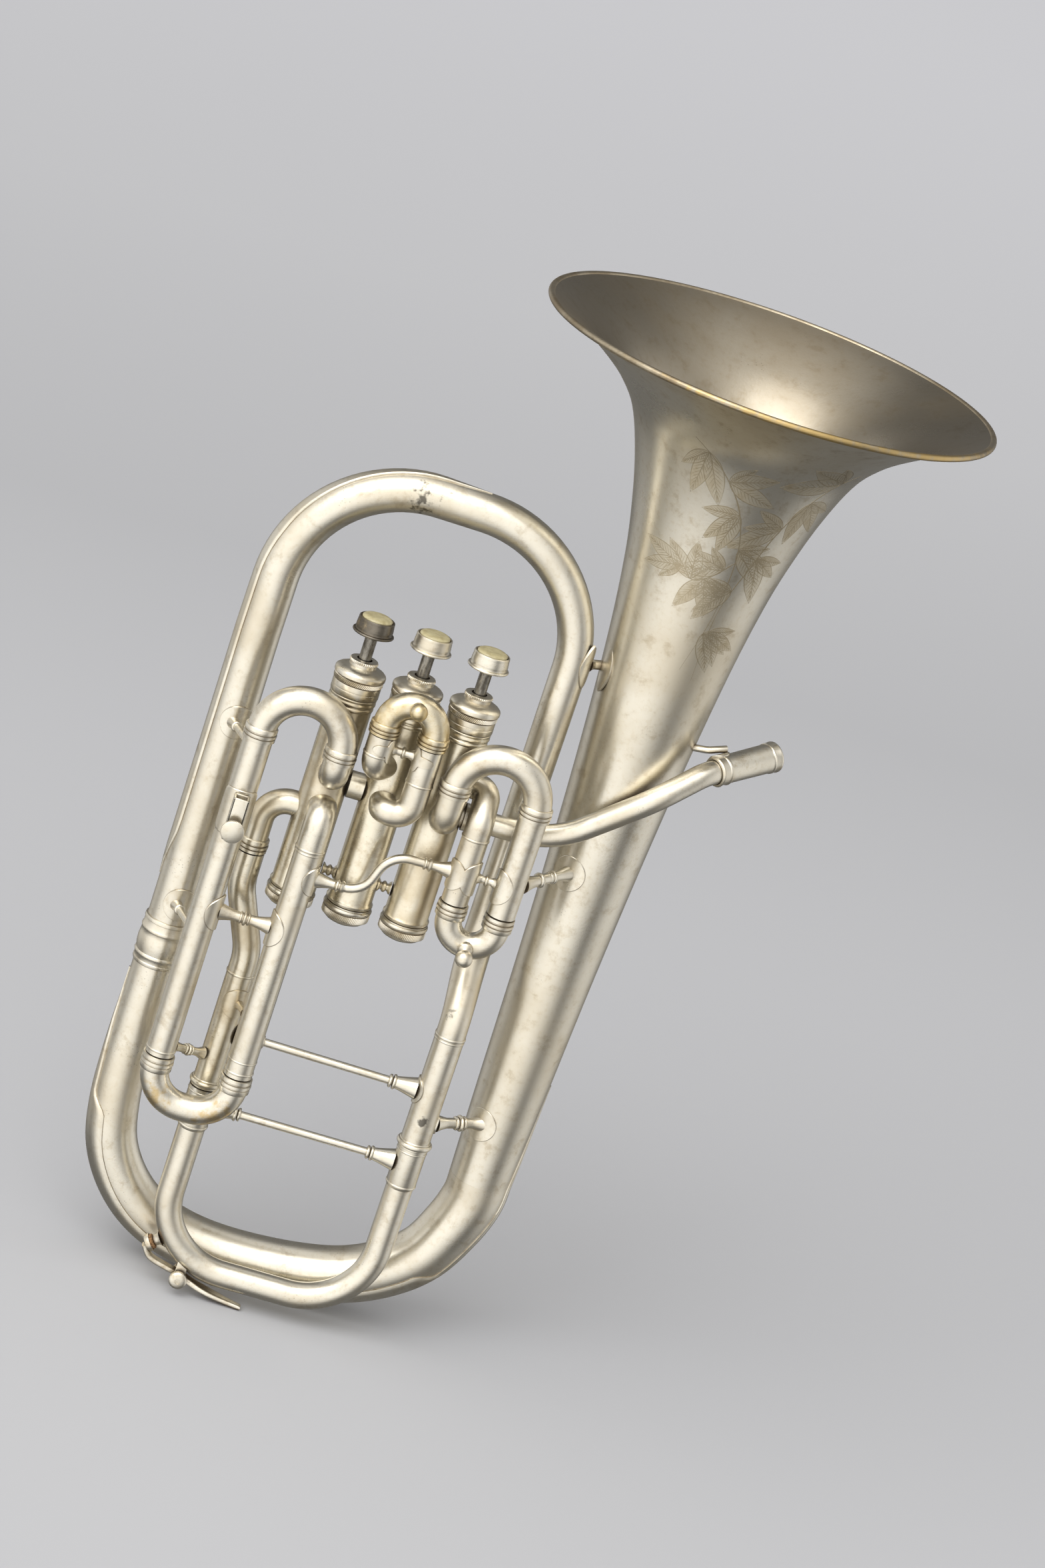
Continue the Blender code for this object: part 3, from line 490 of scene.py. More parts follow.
    def box(self, low, high, edge=0.35):
        """A block with its edges rounded off."""
        low, high = Vector(low), Vector(high)
        made = bmesh.ops.create_cube(self.bm, size=1.0)["verts"]
        for vert in made:
            corner = Vector([a + (b - a) * (c + 0.5) for a, b, c in zip(low, high, vert.co)])
            vert.co = place(corner)
        edges = list({e for v in made for e in v.link_edges})
        bmesh.ops.bevel(self.bm, geom=edges, offset=edge * MM, segments=3, profile=0.5,
                        affect="EDGES")
        return self

    def done(self, node, material, sharp=38.0, name=None, body=None):
        """Makes the piece that stands for a CAD node, or a further one if name and body are given."""
        bmesh.ops.recalc_face_normals(self.bm, faces=self.bm.faces)
        name = name or node + "_fine"
        mesh = bpy.data.meshes.new(name)
        self.bm.to_mesh(mesh)
        self.bm.free()
        mesh.shade_smooth()
        mesh.set_sharp_from_angle(angle=math.radians(sharp))
        mesh.materials.append(material)
        obj = bpy.data.objects.new(name, mesh)
        bpy.context.scene.collection.objects.link(obj)
        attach(obj, body or BODY_OF[node])
        if not body:
            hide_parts(node)
        return obj


def arc(radius, centre_r, centre_h, start, end, steps=8):
    """Profile points of a rounded edge."""
    made = []
    for k in range(steps + 1):
        turn = math.radians(start + (end - start) * k / steps)
        made.append((centre_r + radius * math.cos(turn), centre_h + radius * math.sin(turn)))
    return made


def lines(shape, x, y, radius, marks):
    """Ring lines on an upright tube, from (height, width, rise) marks."""
    for z, width, rise in marks:
        shape.line((x, y, z), UP, radius, width, rise)


TRIPLE = [(0, 0.1), (0.25, 0.75), (1.6, 0.8), (1.9, 0.3), (2.3, 0.3), (2.6, 0.95), (3.6, 1.0),
          (3.9, 0.35), (4.3, 0.35), (4.6, 0.8), (6.3, 0.8), (6.7, 0.5), (6.9, 0.1)]


def triple(shape, at, axis, radius, length=6.9, lift=1.0):
    """The ferrule with three raised bands that most of the tube joints have."""
    outline = [(along * length / 6.9, rise * lift) for along, rise in TRIPLE]
    return shape.band(at, axis, radius, outline)


def post_profile(length, radius, foot, foot_length, collar, collars):
    """A turned brace: hollow-sided cones at both ends, a ring in the middle, and others as asked."""
    def cone(distance):
        t = max(0.0, 1 - distance / foot_length)
        return radius + (foot - radius) * t ** 1.5

    outline = []
    steps = 10
    for k in range(steps + 1):
        d = foot_length * k / steps
        outline.append((cone(d), d))
    rings = list(collars)
    if collar:
        rings.append((length / 2, collar, 1.6))
    for where, size, width in sorted(rings):
        for t in (-1.0, -0.92, -0.55, 0.0, 0.55, 0.92, 1.0):
            rise = (size - radius) * math.sqrt(max(0.0, 1 - t * t))
            outline.append((radius + rise, where + t * width / 2))
    for k in range(steps, -1, -1):
        d = foot_length * k / steps
        outline.append((cone(d), length - d))
    outline.sort(key=lambda p: p[1])
    return [(0, 0), *outline, (0, length)]


def brace(shape, start, end, radius, foot, foot_length, collar=None, collars=()):
    start, end = Vector(start), Vector(end)
    length = (end - start).length
    profile = post_profile(length, radius, foot, foot_length, collar, collars)
    shape.lathe(profile, start, end - start, 32)


# ---- Bell and large branches -------------------------------------------------------------

BELL_PROFILE = ((0, 15.0), (40, 16.6), (119, 19.4), (208, 24.0), (278, 29.5), (320, 34.8),
                (350, 41.2), (373, 48.2), (389, 55.2), (401, 65.0), (413, 80.5), (422, 96.0),
                (426.2, 105.0))


def monotone(points, x):
    """A smooth curve through (x, y) points that doesn't overshoot them."""
    slopes = [(y1 - y0) / (x1 - x0) for (x0, y0), (x1, y1) in zip(points, points[1:])]
    tangents = [slopes[0]]
    tangents += [2 * a * b / (a + b) if a * b > 0 else 0.0 for a, b in zip(slopes, slopes[1:])]
    tangents.append(slopes[-1])
    for i, ((x0, y0), (x1, y1)) in enumerate(zip(points, points[1:])):
        if x <= x1 or i == len(points) - 2:
            w = x1 - x0
            t = (x - x0) / w
            return (y0 * (2 * t ** 3 - 3 * t * t + 1) + y1 * (3 * t * t - 2 * t ** 3)
                    + w * tangents[i] * (t ** 3 - 2 * t * t + t)
                    + w * tangents[i + 1] * (t ** 3 - t * t))


def bell_radius(height):
    return monotone(BELL_PROFILE, height)


def bell_point(angle, height, lift=0.0):
    """A point on the bell's outside. Angle 0 faces -Y and grows towards +X."""
    slope = bell_radius(height + 0.5) - bell_radius(height - 0.5)
    out = Vector((math.sin(angle), -math.cos(angle), 0))
    normal = (out - UP * slope).normalized()
    return BELL_BASE + turn_to(BELL_AXIS) @ (out * bell_radius(height) + UP * height + normal * lift)


def make_bell(material, rim_material):
    top, count = BELL_LENGTH - 1.9, 110
    heights = [top - top * (k / count) ** 1.25 for k in range(count + 1)]
    outside = [(bell_radius(h), h) for h in heights]
    inside = []
    for h in heights[::-1]:
        slope = bell_radius(h + 0.4) - bell_radius(h - 0.4)
        lean = math.hypot(0.8, slope)
        inside.append((bell_radius(h) - BELL_WALL * 0.8 / lean, h + BELL_WALL * slope / lean))
    inside = [(r, max(0.0, h)) for r, h in inside]
    Shape().lathe(outside + inside, BELL_BASE, BELL_AXIS, 160).done("bell", material)
    rim = BELL_RIM_R - RIM_BEAD_R - 0.1
    Shape().lathe(arc(RIM_BEAD_R, rim, BELL_LENGTH - RIM_BEAD_R - 0.35, 0, 345, 23), BELL_BASE,
                  BELL_AXIS, 160).done("bell", rim_material, name="bell_rim_bead", body="horn")


BOW_LINE = ((-141.3, 164.2, 10.8), (-141.2, 98.0, 11.2), (-140.0, 78.2, 11.6), (-136.2, 58.5, 11.9),
            (-128.0, 42.7, 12.1), (-116.0, 29.9, 12.3), (-101.0, 21.3, 12.5), (-81.5, 16.4, 12.7),
            (-58.7, 15.2, 12.9), (-31.7, 17.1, 13.2), (-9.0, 22.0, 13.5),
            (10.0, 31.6, 13.7), (24.6, 45.0, 13.9), (34.0, 63.5, 14.4), (38.9, 79.5, 14.8),
            (39.4, 92.0, 15.0))


def bow_course():
    """(points, radii) of the bottom bow's centre line, drawn smooth."""
    line = list(BOW_LINE)
    line.insert(1, (-141.3, 140.0, 10.95))
    line.insert(2, (-141.3, 118.0, 11.05))
    rows = smooth_path(line, 8)
    return [Vector((x, 0, z)) for x, z, _ in rows], [r for _, _, r in rows]


def guard(path, radii, angles, rise, side):
    """A plate bent round one side of a curved tube, +1 or -1. angles gives its half width."""
    inset, across = -0.5, 24
    rows = []
    for i, point in enumerate(path):
        ahead = (path[min(i + 1, len(path) - 1)] - path[max(i - 1, 0)]).normalized()
        outward = Vector((-ahead.z, 0, ahead.x)).normalized() * side
        sideways = ahead.cross(outward)
        half = angles(i)
        fade = 0.3 + 0.7 * min(1.0, math.degrees(half) / 14)
        row = []
        for level, shares in ((rise, range(across + 1)), (inset, range(across, -1, -1))):
            for k in shares:
                s = -1 + 2 * k / across
                edge = min(1.0, (1 - abs(s)) * 6)
                lift = level if level < 0 else level * (0.35 + 0.65 * math.sqrt(edge)) * fade
                arm = outward * math.cos(half * s) + sideways * math.sin(half * s)
                row.append(point + arm * (radii[i] + lift))
        rows.append(row)
    return Shape().rings(rows, False, True)


def make_bottom_bow(material):
    path, radii = bow_course()
    Shape().sweep(path, radii, BELL_WALL, 64).done("bottom_bow", material)


def ease(t):
    t = max(0.0, min(1.0, t))
    return t * t * (3 - 2 * t)


def make_bow_guard(material):
    path, radii = bow_course()
    for height in range(4, 61, 4):
        path.append(BELL_BASE + BELL_AXIS * height)
        radii.append(bell_radius(height))
    keep = [i for i, p in enumerate(path) if p.z < 149]
    path, radii = path[keep[0]:keep[-1] + 1], radii[keep[0]:keep[-1] + 1]
    along = lengths_along(path)
    # the length at which the left side's point widens, and the right side's narrows
    left = next(a for a, p in zip(along, path) if p.z < 84)
    right = next(a for a, p in zip(along, path) if p.x > 26)

    def angles(i):
        s = along[i]
        tail_left = 3 + 27 * ease(s / left)
        tail_right = 3 + 34 * ease((along[-1] - s) / (along[-1] - right))
        full = 70 * ease((s - left + 7) / 18) * ease((right + 7 - s) / 18)
        return math.radians(max(full, tail_left if s < (left + right) / 2 else tail_right))

    guard(path, radii, angles, 1.15, -1).done("bottom_bow_guard", material, 50)


def top_bow_course():
    """(points, radii) from the ferrule round the crown to the tuning slide."""
    end = TUNING_X[1]
    corners = [(BRANCH_X, 0, 164.8), (BRANCH_X, 0, 326.0), (BRANCH_X + 1.4, 0, LOOP_TOP_Z),
               (0.6, -8.5, LOOP_TOP_Z), (0.6, -9.0, 200.0), (end, TUNING_Y, 178.0),
               (end, TUNING_Y, TUNING_MOUTH_Z)]
    even = evened(rounded_path(corners, [30.0, 61.0, 59.0, 24.0, 24.0]), 8)
    return even, tapered(even, ((0.0, BRANCH_R), (0.25, 10.3), (0.48, 9.3), (0.62, 8.35),
                                (0.85, 7.9), (0.9, TUNING_RIGHT_R), (1.0, TUNING_RIGHT_R)))


def make_top_bow(material, guard_material):
    path, radii = top_bow_course()
    shape = Shape().sweep(path, radii, WALL, 56)
    end = TUNING_X[1]
    lines(shape, end, TUNING_Y, TUNING_RIGHT_R, ((168.6, 1.5, 0.4), (166.8, 0.9, 0.25)))
    rolled_bead(shape, (end, TUNING_Y, 110.6), TUNING_RIGHT_R)
    shape.done("top_bow", material)
    start = next(i for i, p in enumerate(path) if p.z > 190)
    stop = next(i for i, p in enumerate(path) if p.x > -58)
    path, radii = path[start:stop], radii[start:stop]
    along = lengths_along(path)

    def angles(i):
        return math.radians(1.2 + 38 * min(1.0, (along[-1] - along[i]) / 95) ** 0.9
                            * ease((along[i] + 2) / 30))

    guard(path, radii, angles, 1.05, 1).done("top_bow_guard", guard_material, 50)


def rolled_bead(shape, at, radius):
    """The thick rolled ring at the mouth of the tuning slide's sleeves."""
    outline = [(-2.4, 0.1), (-2.2, 0.45), (-1.6, 0.55), (-1.3, 0.5)]
    outline += [(1.3 * -math.cos(math.radians(t)), 0.5 + 1.0 * math.sin(math.radians(t)))
                for t in range(0, 181, 15)]
    outline += [(1.7, 0.5), (2.1, 0.1)]
    shape.band(at, UP, radius, outline)


def make_bow_ferrule(material):
    low, high = FERRULE_Z
    outline = [(low, 0.2), (low + 0.2, 0.7), (low + 0.9, 0.95), (low + 1.8, 0.95), (low + 2.1, 0.6),
               (low + 4.0, 0.75)]
    outline += [(low + 4.4, 1.05), (low + 5.1, 1.25), (low + 5.8, 1.05), (low + 6.2, 0.8)]
    outline += [(low + 6.2 + k * 1.1, 0.8 + 0.55 * math.sin(math.pi * k / 9)) for k in range(1, 9)]
    outline += [(high - 7.4, 0.8), (high - 7.0, 1.05), (high - 6.3, 1.25), (high - 5.6, 1.05),
                (high - 5.2, 0.75), (high - 2.1, 0.6), (high - 1.8, 0.95), (high - 0.9, 0.95),
                (high - 0.2, 0.7), (high, 0.2)]
    Shape().band((BRANCH_X, 0, 0), UP, BRANCH_R, outline, 0.3, 72).done("bow_ferrule", material)


# ---- Engraving ---------------------------------------------------------------------------


def engraved_line(shape, points, width, lift=0.05):
    """A cut line on the bell from (angle, height) points, its width fading to both ends."""
    rows = []
    places = [bell_point(a, h, lift) for a, h in points]
    for i, (a, h) in enumerate(points):
        before, after = places[max(i - 1, 0)], places[min(i + 1, len(points) - 1)]
        ahead = (after - before).normalized()
        normal = (bell_point(a, h, 1.0) - bell_point(a, h, 0.0)).normalized()
        side = ahead.cross(normal).normalized()
        t = i / (len(points) - 1)
        if t < 0.82:
            share = 0.12 + 0.88 * math.sin(math.pi * min(1.0, t * 1.15 + 0.06)) ** 0.6
        else:
            share = max(0.12, (1 - t) * 2.6)
        centre, reach, down = places[i], side * (width * share / 2), normal * 0.12
        rows.append([centre + reach - down, centre + reach, centre - reach, centre - reach - down])
    shape.rings(rows, False, True)


def leaf(lines, fields, angle, height, heading, length, width, veins):
    """One leaf: a matt field, an outline, a midrib and slanting cuts. Sizes are in millimetres."""
    def at(u, v):
        c, s = math.cos(heading), math.sin(heading)
        x, y = u * c - v * s, u * s + v * c
        h = height + y * 0.92
        return (angle + x / bell_radius(height + y * 0.5), h)

    def half(t):
        return width / 2 * math.sin(math.pi * t ** 0.8) ** 0.9

    rows = []
    for k in range(1, 16):
        spots = [at(length * k / 16, half(k / 16) * v / 4) for v in range(-4, 5)]
        rows.append([bell_point(*spot, 0.03) for spot in spots] +
                    [bell_point(*spot, -0.1) for spot in spots[::-1]])
    fields.rings(rows, False, True)
    for side in (-1, 1):
        edge = [at(length * k / 14, side * half(k / 14)) for k in range(15)]
        engraved_line(lines, edge, 0.42)
    engraved_line(lines, [at(length * k / 8, 0) for k in range(9)], 0.5)
    for n in range(1, veins):
        t = n / veins
        for side in (-1, 1):
            start, reach = t * 0.86, min(0.97, t * 0.86 + 0.16)
            end = side * half(reach) * 0.86
            engraved_line(lines, [at(length * (start + (reach - start) * k / 4), end * k / 4)
                                  for k in range(5)], 0.3)


def make_engraving(material, matt):
    """A generic leaf spray: leaning stems with leaves in threes."""
    dice = random.Random(11)
    lines, fields = Shape(), Shape()
    stems = (
        [(-0.50, 396), (-0.22, 384), (0.06, 366), (0.24, 342), (0.26, 312), (0.10, 284)],
        [(0.92, 398), (0.74, 384), (0.56, 364), (0.44, 340), (0.30, 314), (0.34, 280)],
        [(0.24, 342), (0.02, 332), (-0.20, 328), (-0.40, 334)],
    )
    for stem in stems:
        curve = smooth_path(stem, 8)
        engraved_line(lines, curve, 0.6)
        for n in range(4, len(curve) - 2, 6):
            a, h = curve[n]
            da, dh = curve[n + 1][0] - a, curve[n + 1][1] - h
            heading = math.atan2(dh, da * bell_radius(h))
            side = 1 if (n // 6) % 2 else -1
            for turn, size in ((0.55, 1.0), (1.15, 0.82), (1.75, 0.62)):
                length = (23 + dice.uniform(-2, 3)) * size * (0.62 + bell_radius(h) / 95)
                leaf(lines, fields, a, h, heading + side * (turn + dice.uniform(-0.12, 0.12)),
                     length, length * 0.36, 11)
    fields.done("bell", matt, 60, "bell_leaf_fields", "horn")
    lines.done("bell", material, 60, "bell_leaf_spray", "horn")


# ---- Valves ------------------------------------------------------------------------------


def knurl(shape, at, axis, radius, low, high, count, depth, lean=0.0, bore=1.2):
    """A milled ring: teeth round it, which lean by that many teeth over its height."""
    spin, at = turn_to(axis), Vector(at)
    steps = count * 4
    rows = []
    levels = [(low, -0.25), (low + 0.25, 0.0), ((low + high) / 2, 0.0), (high - 0.25, 0.0),
              (high, -0.25)]
    for h, fall in levels:
        row = []
        for k in range(steps):
            turn = 2 * math.pi * k / steps + lean * (h - low) / (high - low) * 2 * math.pi / count
            r = radius + fall + depth * math.cos(math.pi * k / 2)
            row.append(at + spin @ Vector((r * math.cos(turn), r * math.sin(turn), h)))
        rows.append(row)
    for h in (high, low):
        rows.append([at + spin @ Vector(((radius - bore) * math.cos(2 * math.pi * k / steps),
                                         (radius - bore) * math.sin(2 * math.pi * k / steps), h))
                     for k in range(steps)])
    shape.rings(rows, True, False)


def make_casing(index, material):
    x = VALVE_X[index]
    outline = [(220.5, 0.0), (220.5, 0.4), (221.0, 0.75), (221.9, 0.8), (222.3, 0.4), (222.9, 0.25),
               (223.3, 0.0), (313.2, 0.0), (313.5, 0.3), (314.2, 0.42), (314.9, 0.3), (315.2, 0.05),
               (315.7, 0.05), (316.0, 0.5), (316.5, 0.72), (317.2, 0.72), (317.7, 0.45),
               (318.1, 0.45), (318.5, 0.7), (319.0, 0.7), (319.3, 0.4)]
    shape = Shape().band((x, VALVE_Y, 0), UP, CASING_R, outline, 0.85, 64)
    if index == 1:
        for side, z in zip((-1, 1), KNUCKLE_Z):
            start = Vector((x + side * 9.8, VALVE_Y, z))
            shape.lathe([(6.5, 7.1), (5.3, 7.1), (5.3, 0), (6.5, 0)], start, (side, 0, 0), 40)
        for side in (-1, 1):
            start = Vector((x + side * 10.2, VALVE_Y, SPACER_Z))
            shape.lathe([(0, 0), (3.3, 0), (2.9, 0.7), (1.9, 1.3), (1.7, 1.9), (2.5, 2.5),
                         (2.8, 3.15), (2.5, 3.8), (1.7, 4.4), (1.9, 5.0), (2.9, 5.7), (3.3, 6.4),
                         (0, 6.4)], start, (side, 0, 0), 28)
    shape.done(f"valve_casing_{index + 1}", material)


def make_top_cap(index, material):
    z = TOP_CAP_Z
    profile = [(6.0, z + 17.0), (6.45, z + 16.8), (6.45, z + 13.9), (7.2, z + 13.5),
               (9.2, z + 12.9), (11.0, z + 12.0), (11.9, z + 11.2), (12.1, z + 10.7),
               (12.1, z + 9.3), (11.7, z + 8.8), (10.9, z + 8.6), (10.9, z + 6.0), (11.35, z + 5.7),
               (11.4, z + 5.3), (11.4, z + 3.4), (11.15, z + 3.2), (11.15, z + 2.8), (11.4, z + 2.6),
               (11.4, z + 0.4), (11.1, z), (9.8, z), (9.8, z + 9.2), (3.7, z + 12.2),
               (3.7, z + 17.0)]
    at = (VALVE_X[index], VALVE_Y, 0)
    shape = Shape().lathe(profile, at, steps=64)
    knurl(shape, at, UP, 11.5, z + 6.1, z + 8.5, 84, 0.2, 1.2)
    knurl(shape, at, UP, 6.6, z + 15.3, z + 16.6, 44, 0.16, 0.0, 0.6)
    shape.done(f"valve_top_cap_{index + 1}", material)


def make_bottom_cap(index, material):
    z = BOTTOM_CAP_Z
    profile = [(0, z - 10.4), (3.0, z - 10.3), (6.2, z - 9.7), (8.9, z - 8.5), (10.3, z - 7.3),
               (10.6, z - 6.6), (10.6, z - 3.2), (11.2, z - 2.9), (11.65, z - 2.2), (11.7, z - 1.5),
               (11.4, z - 0.9), (10.9, z - 0.7), (10.9, z - 0.2), (10.6, z), (9.4, z),
               (9.2, z - 6.0), (0, z - 8.4)]
    at = (VALVE_X[index], VALVE_Y, 0)
    shape = Shape().lathe(profile, at, steps=64)
    knurl(shape, at, UP, 11.2, z - 6.7, z - 3.4, 84, 0.2, 0.8)
    shape.done(f"valve_bottom_cap_{index + 1}", material)


def make_piston(index, material):
    profile = [(0, 348.8), (2.6, 348.8), (2.9, 348.5), (2.9, 316.0), (3.6, 315.3), (8.8, 315.0),
               (9.15, 314.6), (9.15, 238.4), (8.8, 238.0), (0, 238.0)]
    at = (VALVE_X[index], VALVE_Y, 0)
    Shape().lathe(profile, at, steps=48).done(f"piston_{index + 1}", material)


def make_spring(index, material):
    """The coil spring under a piston, drawn at its full length, though the real one shortens by the
    stroke as the piston goes down.
    """
    wire, coil, turns, per_turn = 0.7, 7.2, 6, 20
    low, high = SPRING_Z
    count = turns * per_turn
    path = []
    for k in range(count + 1):
        turn = 2 * math.pi * k / per_turn
        path.append((VALVE_X[index] + coil * math.cos(turn), VALVE_Y + coil * math.sin(turn),
                     low + (high - low) * k / count))
    node = f"piston_spring_{index + 1}"
    spring = Shape().sweep(path, wire, sides=10).done(node, material)
    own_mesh(spring)


def make_button(index, material, pearl):
    z = BUTTON_Z
    rim = arc(0.62, 9.2, z + 0.95, -80, 80, 8)
    profile = [(0, z), (7.2, z), (8.5, z + 0.2), *rim, (8.75, z + 1.75), (8.6, z + 2.1),
               (8.8, z + 2.9), (8.8, z + 3.6), (8.55, z + 6.2), (8.5, z + 6.6), (8.55, z + 7.0),
               (8.4, z + 7.7), (8.1, z + 7.95), (7.8, z + 7.9), (7.55, z + 7.6), (7.5, z + 5.6),
               (0, z + 5.6)]
    at = (VALVE_X[index], VALVE_Y, 0)
    shape = Shape().lathe(profile, at, steps=56)
    knurl(shape, at, UP, 9.5, z + 0.5, z + 1.4, 80, 0.12, 0.0, 0.6)
    shape.done(f"button_{index + 1}", material)
    low = z + 5.9
    dome = [(7.3 * math.cos(math.radians(t)) ** 0.35, low + 1.6 + 1.8 * math.sin(math.radians(t)))
            for t in range(0, 90, 6)]
    Shape().lathe([(0, low), (7.2, low), *dome, (0, low + 3.4)], at, steps=56).done(
        f"pearl_{index + 1}", pearl)


# ---- Valve slides ------------------------------------------------------------------------


def sleeve(corners, radii, tube_r):
    return Shape().sweep(rounded_path(corners, radii), tube_r, WALL)


def half_moon(shape, tube_x, z, side, radius, size, front=0.0, y=SLIDE_Y):
    """A disc flange under a brace's foot, wrapped round a leg. side is +1 or -1 along X."""
    shape.flange((tube_x, y, z), UP, (side, front, 0), radius, size)


def make_first_slide(material, lower, brace_material):
    left, right = FIRST_X
    radius = (right - left) / 2 - 0.02
    high, low = FIRST_PORT_Z
    shape = sleeve([(left, SLIDE_Y, FIRST_MOUTH_Z), (left, SLIDE_Y, FIRST_CROWN_Z),
                    (right, SLIDE_Y, FIRST_CROWN_Z), (right, SLIDE_Y, high),
                    (right, VALVE_Y - 6, high)], [radius, radius, ELBOW_R], TUBE_R)
    for x in FIRST_X:
        triple(shape, (x, SLIDE_Y, 291.7), UP, TUBE_R)
    lines(shape, left, SLIDE_Y, TUBE_R, ((131.0, 1.2, 0.3),))
    shape.done("first_slide_upper_branch", material)
    shape = sleeve([(right, VALVE_Y - 6, low), (right, SLIDE_Y, low),
                    (right, SLIDE_Y, FIRST_MOUTH_Z)], [ELBOW_R], TUBE_R)
    lines(shape, right, SLIDE_Y, TUBE_R,
          ((247.6, 1.3, 0.35), (245.9, 0.9, 0.2), (137.0, 0.9, 0.25), (131.0, 1.2, 0.3)))
    shape.done("first_slide_right_sleeve", material)
    slide_piece("first_slide", FIRST_X, FIRST_MOUTH_Z, FIRST_BOTTOM_Z, 183.6, 5.75, TUBE_R, 17.0,
                8.0, 1.0, lower)
    shape = Shape()
    brace(shape, (left + TUBE_R, SLIDE_Y, 205.0), (right - TUBE_R, SLIDE_Y, 205.0), 2.45, 4.3, 8.5,
          None, ((12.1, 3.5, 1.7), (10.2, 3.0, 1.2), (14.0, 3.0, 1.2)))
    half_moon(shape, left, 205.0, 1, TUBE_R, 9.0, -0.25)
    half_moon(shape, right, 205.0, -1, TUBE_R, 9.0, -0.25)
    shape.done("first_slide_brace", brace_material)


def slide_piece(node, x_pair, mouth, turn, leg_z, leg_r, crook_r, bend_r, ferrule, lift, material,
                knob=None):
    """A moving slide: its inner legs, ferrules that butt on the sleeves, and its crook.

    mouth, turn and leg_z are the heights of the sleeves' ends, the crook and the legs' ends, and
    knob is the place and axis of a ball knob."""
    down = 1 if turn < mouth else -1
    left, right = x_pair
    path = rounded_path([(left, SLIDE_Y, leg_z), (left, SLIDE_Y, turn), (right, SLIDE_Y, turn),
                         (right, SLIDE_Y, leg_z)], [bend_r, bend_r])
    head, tail, ends = [path[0]], [path[-1]], [leg_r]
    for depth, radius in ((0.4, leg_r), (0.9, crook_r + 0.05), (ferrule, crook_r)):
        z = mouth - down * depth
        head.append(Vector((left, SLIDE_Y, z)))
        tail.append(Vector((right, SLIDE_Y, z)))
        ends.append(radius)
    middle = path[1:-1]
    radii = ends + [crook_r] * len(middle) + ends[::-1]
    shape = Shape().sweep(head + middle + tail[::-1], radii, 0.5)
    for x in x_pair:
        triple(shape, (x, SLIDE_Y, mouth - down * 0.5), (0, 0, -down), crook_r, ferrule, lift)
    if knob:
        ball_knob(shape, *knob)
    shape.done(node, material)


def ball_knob(shape, at, axis):
    """A ball on a turned neck with a small foot."""
    ball = arc(4.15, 0, 6.9, 90, -56, 16)
    profile = [(0, ball[0][1]), *ball[1:], (1.75, 3.2), (1.6, 2.6), (1.9, 1.9), (3.0, 1.2),
               (3.6, 0.5), (3.7, -0.4), (3.4, -1.9), (0, -1.9)]
    shape.lathe(profile, at, axis, 36)


def make_second_slide(material, crook, brace_material):
    left, right = SECOND_X
    x = VALVE_X[1]
    high, low = SECOND_PORT_Z
    shape = sleeve([(left, SLIDE_Y, SECOND_MOUTH_Z), (left, SLIDE_Y, high),
                    (x - 3, VALVE_Y - 5, high)], [7.6], SECOND_R)
    lines(shape, left, SLIDE_Y, SECOND_R, ((301.0, 1.2, 0.3),))
    shape.done("second_slide_left_sleeve", material)
    shape = sleeve([(right, SLIDE_Y, SECOND_MOUTH_Z), (right, SLIDE_Y, low), (x, SLIDE_Y, low),
                    (x, VALVE_Y - 6, low)], [ELBOW_R, 4.4], SECOND_R)
    lines(shape, right, SLIDE_Y, SECOND_R, ((292.9, 1.2, 0.3),))
    shape.done("second_slide_right_sleeve", material)
    slide_piece("second_slide", SECOND_X, SECOND_MOUTH_Z, SECOND_TOP_Z, 301.8, 5.25, SECOND_R,
                (right - left) / 2 - 0.02, 6.2, 1.1, crook,
                ((-63.6, SLIDE_Y - SECOND_R + 0.2, 328.4), (0, -1, 0.2)))
    shape = Shape()
    brace(shape, (left + SECOND_R - 0.3, SLIDE_Y, 304.9), (right - SECOND_R + 0.3, SLIDE_Y, 304.9),
          1.9, 3.2, 2.6, 2.9)

    for tube_x, side in ((left, 1), (right, -1)):

        def arrow(turn, away=-side * math.pi / 2):
            # three points: up and down the tube, and a long one away from the brace
            tips = ((0.0, 0.45), (math.pi, 0.45), (away, 0.9))
            return 0.5 + sum(size * max(0.0, math.cos(turn - tip)) ** 9 for tip, size in tips)

        shape.flange((tube_x, SLIDE_Y, 304.9), UP, (side, -0.75, 0), SECOND_R, 6.4, 0.7, steps=64,
                     shape=arrow)
    shape.done("second_slide_brace", brace_material)


